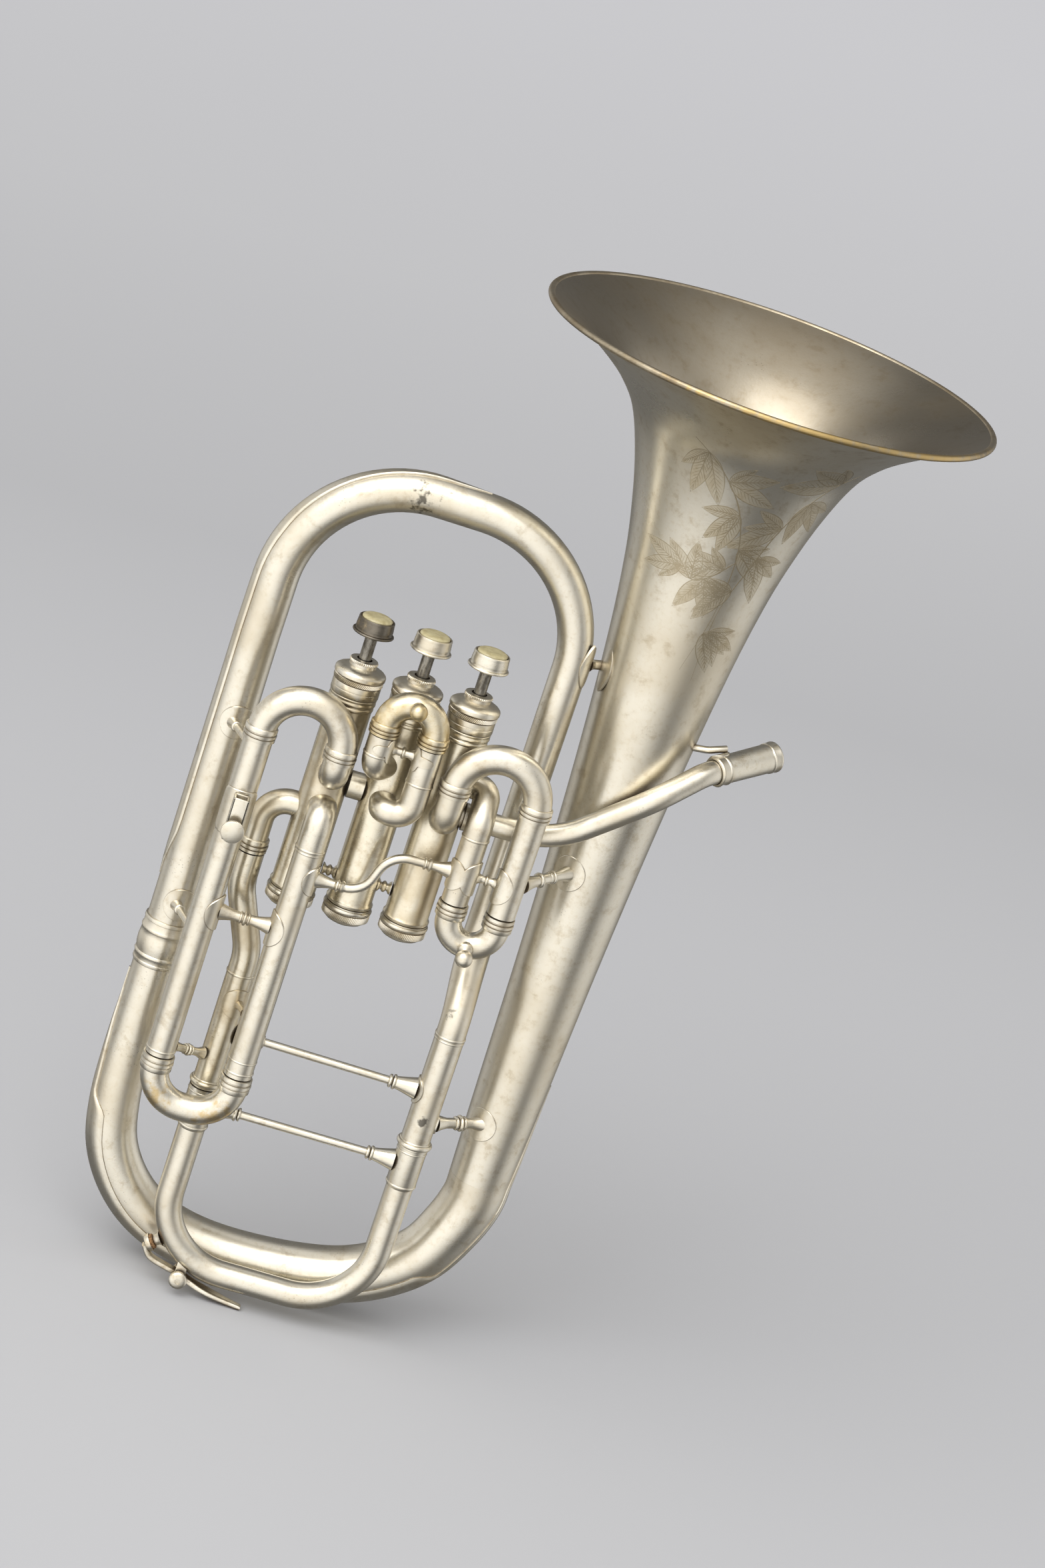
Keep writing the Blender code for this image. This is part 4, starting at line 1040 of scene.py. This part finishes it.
def make_third_slide(material, lower, brace_material):
    left, middle, right = THIRD_X
    radius = (right - left) / 2 - 0.02
    low, high = THIRD_PORT_Z
    shape = sleeve([(left, VALVE_Y - 6, low), (left, SLIDE_Y, low), (left, SLIDE_Y, THIRD_CROWN_Z),
                    (right, SLIDE_Y, THIRD_CROWN_Z), (right, SLIDE_Y, THIRD_MOUTH_Z)],
                   [ELBOW_R, radius, radius], TUBE_R)
    for x in (left, right):
        triple(shape, (x, SLIDE_Y, 292.0), UP, TUBE_R)
    shape.done("third_slide_upper_branch", material)
    shape = sleeve([(VALVE_X[2] + 4, VALVE_Y - 1.6, high), (middle, VALVE_Y - 7, high),
                    (middle, SLIDE_Y, high - 12), (middle, SLIDE_Y, THIRD_MOUTH_Z)],
                   [7.0, ELBOW_R], SECOND_R)
    lines(shape, middle, SLIDE_Y, SECOND_R, ((275.4, 1.3, 0.35),))
    shape.done("third_slide_middle_sleeve", material)
    slide_piece("third_slide", (middle, right), THIRD_MOUTH_Z, THIRD_BOTTOM_Z, 272.5, 5.25,
                SECOND_R, (right - middle) / 2 - 0.02, 7.4, 1.1, lower,
                ((-8.5, SLIDE_Y - SECOND_R + 0.2, THIRD_BOTTOM_Z), (0, -1, -0.3)))
    shape = Shape()
    brace(shape, (middle + SECOND_R, SLIDE_Y, 256.7), (right - TUBE_R, SLIDE_Y, 256.7), 1.8, 3.3,
          2.6, 2.9)
    half_moon(shape, middle, 256.7, 1, SECOND_R, 8.6, -0.5)
    half_moon(shape, right, 256.7, -1, TUBE_R, 8.6, -0.5)
    shape.done("third_slide_brace", brace_material)


# ---- Tuning slide, exit branch and leadpipe ----------------------------------------------


def make_tuning_slide(material, rod_material):
    left, right = TUNING_X
    mouth, turn = TUNING_MOUTH_Z, TUNING_BOTTOM_Z
    corners = [(left, TUNING_Y, mouth + 50), (left, TUNING_Y, turn), (right, TUNING_Y, turn),
               (right, TUNING_Y, mouth + 50)]
    path = rounded_path(corners, [TUNING_BEND_R, TUNING_BEND_R], 3.0)
    legs = ((left, path[0]), (right, path[-1]))
    ferrule_r = 7.3
    ends, radii = [], [5.45, 5.45, ferrule_r, ferrule_r, 7.1, TUNING_R]
    for x, first in legs:
        ends.append([first] + [Vector((x, TUNING_Y, z)) for z in
                               (mouth - 0.4, mouth - 0.8, 88.2, 87.4, 86.8)])
    full = ends[0] + path[1:-1] + ends[1][::-1]
    shape = Shape().sweep(full, radii + [TUNING_R] * (len(path) - 2) + radii[::-1], 0.5)
    for x in TUNING_X:
        lines(shape, x, TUNING_Y, ferrule_r, ((88.6, 1.2, 0.25), (106.6, 0.9, 0.22)))
    for side in (-1, 1):
        inner, outer = sorted((side * 3.5, side * 4.9))
        shape.lathe([(0, inner), (3.1, inner), (3.3, inner + 0.2), (3.3, outer - 0.2), (3.1, outer),
                     (0, outer)], KEY_PIVOT, (0, 1, 0), 32)
        shape.box(KEY_PIVOT + Vector((-2.4, inner, -0.6)), KEY_PIVOT + Vector((2.8, outer, 9.0)),
                  0.25)
    shape.done("tuning_slide", material)
    shape = Shape()
    rod_brace(shape, (left + 6.9, TUNING_Y, 99.2), (right - 6.9, TUNING_Y, 99.0))
    shape.done("tuning_slide_rod", rod_material)


def rod_brace(shape, start, end):
    """A long rod with a turned cone and two small rings at each end."""
    start, end = Vector(start), Vector(end)
    length = (end - start).length
    count, cone, half_width = 400, 11.0, 0.8
    outline = []
    for along in [length * k / count for k in range(count + 1)]:
        ends = min(along, length - along)
        r = 1.95 if ends > cone else 3.0 + 2.4 * max(0.0, 1 - ends / 10.5) ** 1.2
        for where, size in ((cone, 3.7), (length - cone, 3.7), (12.9, 3.3), (length - 12.9, 3.3)):
            t = (along - where) / half_width
            if abs(t) < 1:
                r = max(r, size - 0.7 + 0.7 * math.sqrt(1 - t * t))
        outline.append((r, along))
    shape.lathe([(0, 0), *outline, (0, length)], start, end - start, 32)


def make_exit(material, rod_material):
    left, right = TUNING_X
    path = rounded_path([(VALVE_X[0] - 5, VALVE_Y, EXIT_PORT_Z), (-115.6, VALVE_Y + 1, EXIT_PORT_Z),
                         (-115.4, TUNING_Y - 0.5, 230.9)], [12.0])
    shape = Shape().sweep(path, 6.0, WALL)
    triple(shape, (-115.4, TUNING_Y - 0.5, 230.7), UP, 6.0, 7.2, 1.25)
    shape.done("exit_crook", material)
    path = rounded_path([(-115.4, TUNING_Y - 0.5, 230.2), (-115.3, TUNING_Y - 0.5, 213.0),
                         (left, TUNING_Y, 181.0), (left, TUNING_Y, TUNING_MOUTH_Z)],
                        [34.0, 34.0], 3.0)
    shape = Shape().sweep(path, TUNING_R, WALL)
    lines(shape, left, TUNING_Y, TUNING_R, ((169.8, 1.3, 0.35),))
    rolled_bead(shape, (left, TUNING_Y, 111.6), TUNING_R)
    shape.flange((left, TUNING_Y, 156.0), UP, (0.45, -1, 0), TUNING_R, 7.5)
    brace(shape, (-99.5, -30.6, 156.0), (-95.6, -41.5, 157.0), 1.7, 2.6, 3.4)
    shape.done("exit_branch", material)
    shape = Shape()
    rod_brace(shape, (left + 7.0, TUNING_Y, 138.9), (right - 7.5, TUNING_Y, 137.7))
    half_moon(shape, right, 137.7, -1, TUNING_RIGHT_R, 7.0, 0.0, TUNING_Y)
    shape.done("sleeve_rod", rod_material)
    shape = Shape()
    brace(shape, (-123.3, -41.0, 131.0), (-108.8, -30.0, 126.6), 2.0, 3.2, 4.2, None,
          ((9.3, 3.0, 1.8), (7.5, 2.6, 1.2), (11.1, 2.6, 1.2)))
    shape.done("exit_brace", material)


RECEIVER_START = Vector((79.0, -18.6, 329.6))
RECEIVER_END = Vector((109.0, 6.2, 338.6))


def make_leadpipe(material, receiver_material):
    ahead = (RECEIVER_END - RECEIVER_START).normalized()
    corners = [(VALVE_X[2] + 5, VALVE_Y, LEADPIPE_PORT_Z), (16.0, VALVE_Y - 0.5, 277.5),
               (55.0, VALVE_Y - 4.5, 312.5), RECEIVER_START - ahead * 6, RECEIVER_START + ahead * 5]
    path = rounded_path(corners, [45.0, 40.0, 20.0], 3.0)
    shape = Shape().sweep(path, tapered(path, ((0, 5.3), (1, 5.7))), WALL)
    shape.lathe([(5.9, 0), (6.6, 0.3), (6.6, 5.6), (5.9, 6.0), (5.0, 6.0), (5.0, 0)],
                (VALVE_X[2] + 10.6, VALVE_Y, LEADPIPE_PORT_Z), (1, 0, 0), 40)
    shape.done("leadpipe", material)
    outside = [(6.15, 37.5), *arc(1.15, 6.35, 36.1, 62, -20, 8), (7.2, 34.6), (7.0, 33.3)]
    outside += [(7.35, 32.9), (7.35, 32.3), (7.0, 31.9), (6.95, 31.2), (6.8, 12.0), (6.75, 6.6),
                (7.1, 6.2), (7.3, 5.6), (7.1, 5.0), (6.8, 4.7), (6.8, 1.6), (7.15, 1.3),
                (7.3, 0.8), (7.0, 0.2), (6.6, 0.0)]
    profile = [*outside, (6.0, 0), (5.2, 20.0), (5.35, 37.3)]
    Shape().lathe(profile, RECEIVER_START, ahead, 56).done("mouthpiece_receiver", receiver_material)
    hook = smooth_path([(63.0, -7.2, 334.2), (68.0, -9.4, 335.4), (73.6, -10.9, 336.6),
                        (78.4, -10.6, 338.2), (82.3, -9.4, 339.2)], 6)
    shape = Shape().sweep(hook, 1.7, None, 24)
    shape.flange(RECEIVER_START + ahead * 6.0, ahead, Vector((-0.1, 0.7, 0.75)), 6.8, 5.0)
    shape.done("leadpipe_brace", material)


# ---- Braces ------------------------------------------------------------------------------


def bell_axis_at(z):
    return BELL_BASE + (BELL_RIM - BELL_BASE) * ((z - BELL_BASE.z) / (BELL_RIM.z - BELL_BASE.z))


def make_braces(material):
    for node, z_low, z_high in (("branch_brace_upper", 282.9, 286.4),
                                ("branch_brace_lower", 187.5, 191.0)):
        start, end = Vector((-140.4, -10.6, z_low)), Vector((-132.4, -40.8, z_high))
        shape = Shape()
        branch_r = BRANCH_R if node == "branch_brace_lower" else 10.35
        shape.flange((BRANCH_X, 0, z_low + 0.2), UP, end - start, branch_r, 8.2)
        brace(shape, start, end, 1.7, 3.0, 6.0, None, ((7.4, 2.6, 1.4),))
        shape.flange((FIRST_X[0], SLIDE_Y, z_high), UP, start - end, TUBE_R, 5.6)
        shape.done(node, material)
    # top bow to bell: a short double cone between two tall leaves
    shape = Shape()
    brace(shape, (8.6, -7.9, 359.0), (18.4, -2.6, 359.4), 2.3, 3.6, 2.6, None, ())

    def tall(turn):
        return (abs(math.cos(turn)) ** 1.5 + abs(math.sin(turn) / 0.44) ** 1.5) ** (-1 / 1.5)

    shape.flange((0.6, -8.6, 359.0), UP, (1, -0.62, 0), 8.35, 11.0, shape=tall)
    z = 359.4
    shape.flange(bell_axis_at(z), BELL_AXIS, (-1, -0.42, 0), bell_radius(z - BELL_BASE.z) + 0.15,
                 11.0, shape=tall)
    shape.done("bow_bell_brace", material)
    # bell to the third slide: a disc on the bell, a turned post and a foot on the leg
    shape = Shape()
    start, end = Vector((31.0, -16.4, 261.0)), Vector((8.2, -41.2, 257.8))
    brace(shape, start, end, 2.6, 4.4, 10.0, None,
          ((13.0, 3.4, 1.6), (15.2, 3.0, 1.2), (22.0, 3.7, 2.2)))
    centre = bell_axis_at(261.0)
    shape.flange(centre, BELL_AXIS, Vector((29.4, -19.0, 262.0)) - centre,
                 bell_radius(169.0) + 0.1, 8.6, 0.7)
    shape.done("bell_slide_brace", material)
    # bell to the right sleeve, in the same way
    shape = Shape()
    start, end = Vector((30.4, -11.2, 123.6)), Vector((8.4, -21.0, 121.6))
    brace(shape, start, end, 2.6, 4.4, 6.0, None,
          ((9.6, 3.5, 1.7), (11.7, 4.1, 2.2), (13.8, 3.5, 1.7)))
    centre = bell_axis_at(123.6)
    shape.flange(centre, BELL_AXIS, Vector((30.4, -12.0, 123.6)) - centre, bell_radius(31.6) + 0.1,
                 8.4, 0.7)
    shape.flange((TUNING_X[1], TUNING_Y, 121.6), UP, start - end, TUNING_RIGHT_R, 5.0)
    shape.done("bell_leg_brace", material)
    # the S-shaped brace in front of the valves
    corners = [(-83.6, -46.4, 233.4), (-62.0, -49.0, 234.4), (-54.6, -49.4, 256.6),
               (-26.0, -46.2, 256.4)]
    even = evened(rounded_path(corners, [13.0, 13.0]), 0.5)
    along = lengths_along(even)
    total = along[-1]

    def size(s):
        ends = min(s, total - s)
        radius = 2.15 + 2.1 * max(0.0, 1 - ends / 9.0) ** 1.6
        for where, rise, width in ((10.0, 1.1, 1.6), (12.4, 0.8, 1.4)):
            t = (ends - where) / (width / 2)
            if abs(t) < 1:
                radius = max(radius, 2.15 + rise * math.sqrt(1 - t * t))
        return radius

    shape = Shape().sweep(even, [size(s) for s in along], None, 32)
    half_moon(shape, FIRST_X[1], 233.4, 1, TUBE_R, 7.6, -0.4)
    half_moon(shape, THIRD_X[1], 256.4, -1, SECOND_R, 7.6, -0.6)
    shape.done("s_brace", material)


def make_lyre_holder(material, screw_material):
    x, y = FIRST_X[0] + 0.6, SLIDE_Y - TUBE_R - 0.3
    outer, inner = 7.4, 5.2
    front = y - outer
    low, high = 245.0, 266.0
    edge = (outer - inner) / 2
    shape = Shape()
    left, right = x - outer / 2, x + outer / 2
    for x0, y0, x1, y1 in ((left, front, right, front + edge), (left, y - edge, right, y),
                           (left, front, left + edge, y), (right - edge, front, right, y)):
        shape.box((x0, y0, low), (x1, y1, high))

    def saddle(turn):
        return 1.0 / max(abs(math.cos(turn)), abs(math.sin(turn)) * 1.15) ** 0.8

    shape.flange((FIRST_X[0], SLIDE_Y, 256.0), UP, (0, -1, 0), TUBE_R, 11.5, 0.7, shape=saddle)
    shape.done("lyre_holder", material)
    profile = [(0, 5.4), (4.9, 5.4), (5.25, 5.15), (5.25, 3.75), (4.9, 3.6), (1.9, 3.3), (1.5, 3.0),
               (1.5, -1.6), (0, -1.6)]
    at = (x, front, 251.4)
    shape = Shape().lathe(profile, at, (0, -1, 0), 48)
    knurl(shape, at, (0, -1, 0), 5.45, 3.7, 5.2, 46, 0.14, 0.0, 0.6)
    shape.done("lyre_screw", screw_material)


# ---- Water key ---------------------------------------------------------------------------


def make_water_key(material, screw_material, cork):
    turn = math.radians(38.0)
    bend_centre = Vector((TUNING_X[0] + TUNING_BEND_R, TUNING_Y, TUNING_BOTTOM_Z + TUNING_BEND_R))
    outward = Vector((-math.cos(turn), 0, -math.sin(turn)))
    nipple = bend_centre + outward * (TUNING_BEND_R + TUNING_R + 0.3)
    Shape().lathe([(2.4, 3.2), (2.6, 2.9), (2.7, 1.2), (3.4, 0.4), (3.6, 0), (1.6, 0), (1.6, 3.2)],
                  nipple, outward, 36).done("water_key_nipple", material)
    at = nipple + outward * 3.5
    Shape().lathe([(0, 2.2), (3.4, 2.2), (3.7, 1.9), (3.7, 0.3), (3.4, 0), (0, 0)], at, outward,
                  36).done("water_key_cork", cork)
    cup = at + outward * 2.5
    shape = Shape().lathe([(0, 1.9), (2.6, 1.8), (3.9, 1.2), (4.3, 0.4), (4.3, -1.1), (4.05, -1.2),
                           (3.95, -0.9), (3.95, 0), (0, 0)], cup, outward, 40)
    pivot = KEY_PIVOT
    arm = smooth_path([cup + outward * 2.2, pivot + Vector((-16.0, 0, 5.0)),
                       pivot + Vector((-8.0, 0, 2.2)), pivot + Vector((0, 0, 0.4))], 8)
    flat_arm(shape, arm, [(2.6, 1.4)] * len(arm))
    tail = smooth_path([pivot, pivot + Vector((10.0, -0.6, -3.5)),
                        pivot + Vector((21.0, -1.2, -5.9)), (-54.0, TUNING_Y - 2.4, 2.5)], 8)
    count = len(tail) - 1
    sizes = [(2.4 - 0.5 * k / count + 1.5 * math.sin(math.pi * k / count) ** 2,
              1.8 - 0.6 * k / count - 0.3 * (k == count)) for k in range(count + 1)]
    flat_arm(shape, tail, sizes)
    shape.lathe([(1.45, 3.2), (2.9, 3.2), (3.1, 3.0), (3.1, -3.0), (2.9, -3.2), (1.45, -3.2)], pivot,
                (0, 1, 0), 32)
    shape.done("water_key_lever", material)
    profile = [(0, 8.9), (1.2, 8.9), (1.3, 9.1), (2.9, 9.0), (3.9, 8.5), (4.35, 8.0), (4.35, 6.2),
               (4.1, 6.0), (1.5, 5.2), (1.15, 5.0), (1.15, -6.6), (0, -6.6)]
    shape = Shape().lathe(profile, pivot, (0, -1, 0), 40)
    knurl(shape, pivot, (0, -1, 0), 4.3, 6.2, 7.8, 34, 0.12, 0.0, 0.5)
    shape.done("water_key_screw", screw_material)


def flat_arm(shape, points, sizes):
    """A flat bar with rounded edges along a path; sizes are its half width and half depth."""
    side, count = Vector((0, 1, 0)), 20
    rows = []
    points = [Vector(p) for p in points]
    for i, point in enumerate(points):
        ahead = (points[min(i + 1, len(points) - 1)] - points[max(i - 1, 0)]).normalized()
        top = ahead.cross(side).normalized()
        wide, deep = sizes[i]
        row = []
        for k in range(count):
            turn = 2 * math.pi * k / count
            c, s = math.cos(turn), math.sin(turn)
            row.append(point + side * wide * math.copysign(abs(c) ** 0.6, c)
                       + top * deep * math.copysign(abs(s) ** 0.6, s))
        rows.append(row)
    shape.rings(rows, False, True)


# ---- The horn ----------------------------------------------------------------------------

SILVER = plated("silver", tarnish=0.62, pits=0.5,
                dark=(((-88.5, -9, 412.0), 4.6), ((-79, -9, 414.5), 2.6),
                      ((0.7, -31, 125.1), 1.6), ((-3.4, -30, 182.2), 2.2)))
BELL_LOOK = plated("bell_silver", tarnish=0.62, clouds=15.0, pits=0.45, upward=0.72,
                   dark=(((49.7, -22, 239.5), 1.6), ((54.6, -10, 94.2), 1.4)))
RIM_LOOK = plated("rim_worn", base=(0.46, 0.40, 0.30, 1), warm=(0.27, 0.215, 0.14, 1), tarnish=0.95,
                  clouds=45.0, rough=0.36, brass=(((62.0, -105.0, 518.0), 40.0),
                                                  ((118.0, -77.0, 518.0), 30.0)))
SLIDE_LOOK = plated("slide_silver", pits=0.7, brass=(((-94.5, -52, 104.0), 7.0),
                                                     ((-126.0, -53, 108.0), 5.0)))
SECOND_LOOK = plated("second_crook", base=(0.76, 0.69, 0.53, 1), warm=(0.58, 0.45, 0.22, 1),
                     tarnish=0.9, clouds=70.0)
CASING_LOOK = plated("casing_silver", base=(0.74, 0.695, 0.58, 1), warm=(0.57, 0.485, 0.34, 1),
                     tarnish=0.8, clouds=40.0, pits=0.6)
CAP_LOOK = plated("cap_silver", tarnish=0.7, clouds=70.0, recess=1.15)
BRACE_LOOK = plated("brace_silver", tarnish=0.6, clouds=50.0)
DARK_CUP = plated("dark_cup", base=(0.20, 0.18, 0.15, 1), warm=(0.09, 0.08, 0.065, 1), tarnish=0.9,
                  clouds=120.0)
KEY_LOOK = plated("key_silver", tarnish=0.9, clouds=120.0, pits=1.0, recess=1.3)
CUT_LOOK = plated("cut_lines", base=(0.47, 0.41, 0.30, 1), warm=(0.34, 0.28, 0.18, 1), rough=0.42,
                  recess=0.0)
MATT_LOOK = plated("leaf_matt", base=(0.66, 0.61, 0.50, 1), warm=(0.50, 0.42, 0.28, 1), rough=0.43,
                   recess=0.0, clouds=60.0)
STEM_LOOK = steel_look("stem_steel")
SPRING_LOOK = steel_look("spring_steel", (0.38, 0.36, 0.32, 1))
PEARL_LOOK = pearl_look()
CORK_LOOK = cork_look()

make_bell(BELL_LOOK, RIM_LOOK)
make_engraving(CUT_LOOK, MATT_LOOK)
make_bottom_bow(SILVER)
make_bow_guard(SILVER)
make_bow_ferrule(SILVER)
make_top_bow(SILVER, SILVER)
for index in range(3):
    make_casing(index, CASING_LOOK)
    make_top_cap(index, CAP_LOOK)
    make_bottom_cap(index, CAP_LOOK)
    make_piston(index, STEM_LOOK)
    make_button(index, DARK_CUP if index == 0 else CAP_LOOK, PEARL_LOOK)
    make_spring(index, SPRING_LOOK)
make_first_slide(SILVER, SLIDE_LOOK, BRACE_LOOK)
make_second_slide(SILVER, SECOND_LOOK, BRACE_LOOK)
make_third_slide(SILVER, CAP_LOOK, BRACE_LOOK)
make_tuning_slide(SILVER, BRACE_LOOK)
make_exit(CASING_LOOK, BRACE_LOOK)
make_leadpipe(SILVER, CAP_LOOK)
make_braces(BRACE_LOOK)
make_lyre_holder(SILVER, CAP_LOOK)
make_water_key(KEY_LOOK, KEY_LOOK, CORK_LOOK)


# ---- Floor, light and camera -------------------------------------------------------------


def make_floor():
    mesh = bpy.data.meshes.new("floor")
    reach = 9.0
    mesh.from_pydata([(-reach, -reach, 0), (reach, -reach, 0), (reach, reach, 0),
                      (-reach, reach, 0)], [], [(0, 1, 2, 3)])
    floor = bpy.data.objects.new("floor", mesh)
    bpy.context.scene.collection.objects.link(floor)
    look = Look("floor_painted_light_and_shade")
    # Painted light and shade: the floor's grey darkens in a band behind the horn and lightens far
    # off, standing in for the light on a studio sweep.
    apart = look.node("ShaderNodeSeparateXYZ", {"Vector": look.coords})
    ramp = look.node("ShaderNodeValToRGB", {"Fac": look.span(apart.outputs["Y"], -0.6, 5.0)})
    ramp.color_ramp.elements[0].color = (0.475, 0.485, 0.515, 1)
    ramp.color_ramp.elements[1].color = (0.51, 0.52, 0.56, 1)
    for position, grey in ((0.12, 0.455), (0.24, 0.415), (0.5, 0.47)):
        stop = ramp.color_ramp.elements.new(position)
        stop.color = (grey * 0.98, grey, grey * 1.065, 1)
    look.set(Base_Color=ramp.outputs["Color"], Roughness=0.9, Specular_IOR_Level=0.1)
    mesh.materials.append(look.material)
    floor.visible_glossy = False


def make_light(name, kind, at, target, power, **settings):
    data = bpy.data.lights.new(name, kind)
    data.energy = power
    for key, value in settings.items():
        setattr(data, key, value)
    light = bpy.data.objects.new(name, data)
    light.location = at
    light.rotation_mode = "QUATERNION"
    light.rotation_quaternion = (Vector(target) - Vector(at)).to_track_quat("-Z", "Y")
    bpy.context.scene.collection.objects.link(light)


# Soft boxes round the horn: azimuth from the front towards +X, elevation, the angles at which
# each starts and stops fading, and its strength
SOFT_BOXES = ((-30, 12, 18, 85, 1.30), (-20, 75, 12, 60, 0.9), (95, 5, 10, 58, 0.75),
              (-125, 5, 6, 45, 0.6))
AMBIENT = 0.17
BACKDROP = 0.58
WORLD_TINT = (1.0, 0.975, 0.93, 1)

# The camera that matches the photograph: its place, its pitch, yaw and roll, and its lens
CAMERA_AT = (-212.208, -1911.2, 946.899)
CAMERA_ANGLES = (18.87, 6.3, 18.65)
CAMERA_LENS = 99.47


def make_world():
    world = bpy.data.worlds.new("studio")
    world.use_nodes = True
    bpy.context.scene.world = world
    tree = world.node_tree
    back = tree.nodes["Background"]
    heading = tree.nodes.new("ShaderNodeTexCoord").outputs["Generated"]
    total = None
    for azimuth, elevation, inner, outer, strength in SOFT_BOXES:
        a, e = math.radians(azimuth), math.radians(elevation)
        towards = (math.sin(a) * math.cos(e), -math.cos(a) * math.cos(e), math.sin(e))
        dot = tree.nodes.new("ShaderNodeVectorMath")
        dot.operation = "DOT_PRODUCT"
        dot.inputs[1].default_value = towards
        tree.links.new(heading, dot.inputs[0])
        fall = tree.nodes.new("ShaderNodeMapRange")
        fall.interpolation_type = "SMOOTHSTEP"
        fall.inputs["From Min"].default_value = math.cos(math.radians(outer))
        fall.inputs["From Max"].default_value = math.cos(math.radians(inner))
        fall.inputs["To Max"].default_value = strength
        tree.links.new(dot.outputs["Value"], fall.inputs["Value"])
        if total is None:
            total = fall.outputs["Result"]
        else:
            join = tree.nodes.new("ShaderNodeMath")
            tree.links.new(total, join.inputs[0])
            tree.links.new(fall.outputs["Result"], join.inputs[1])
            total = join.outputs[0]
    glow = tree.nodes.new("ShaderNodeMath")
    glow.inputs[1].default_value = AMBIENT
    tree.links.new(total, glow.inputs[0])
    seen = tree.nodes.new("ShaderNodeLightPath").outputs["Is Camera Ray"]
    pick = tree.nodes.new("ShaderNodeMix")
    pick.inputs[3].default_value = BACKDROP
    tree.links.new(seen, pick.inputs[0])
    tree.links.new(glow.outputs[0], pick.inputs[2])
    back.inputs["Color"].default_value = WORLD_TINT
    tree.links.new(pick.outputs[0], back.inputs["Strength"])


def make_camera():
    pitch, yaw, roll = [math.radians(angle) for angle in CAMERA_ANGLES]
    ahead = Vector((math.sin(yaw) * math.cos(pitch), math.cos(yaw) * math.cos(pitch),
                    -math.sin(pitch)))
    right = Vector((math.cos(yaw), -math.sin(yaw), 0))
    up = right.cross(ahead)
    x_axis = right * math.cos(roll) + up * math.sin(roll)
    y_axis = up * math.cos(roll) - right * math.sin(roll)
    data = bpy.data.cameras.new("camera")
    data.sensor_fit = "VERTICAL"
    data.sensor_width = data.sensor_height = 36.0
    data.lens = CAMERA_LENS
    data.clip_end = 60.0
    camera = bpy.data.objects.new("camera", data)
    camera.rotation_mode = "QUATERNION"
    camera.rotation_quaternion = Matrix((x_axis, y_axis, -ahead)).transposed().to_quaternion()
    camera.location = Vector(CAMERA_AT) * MM
    bpy.context.scene.collection.objects.link(camera)
    bpy.context.scene.camera = camera


make_floor()
make_world()
make_light("sun", "SUN", (-1.0, -1.2, 2.6), (0, 0, 0), 0.62, angle=math.radians(50))
make_light("key", "AREA", (-1.3, -1.3, 1.9), (0, 0, 0.3), 9, shape="RECTANGLE", size=1.2,
           size_y=1.2, color=(1.0, 0.98, 0.95))
make_camera()
bpy.context.scene.view_settings.view_transform = "Standard"

bpy.context.view_layer.update()
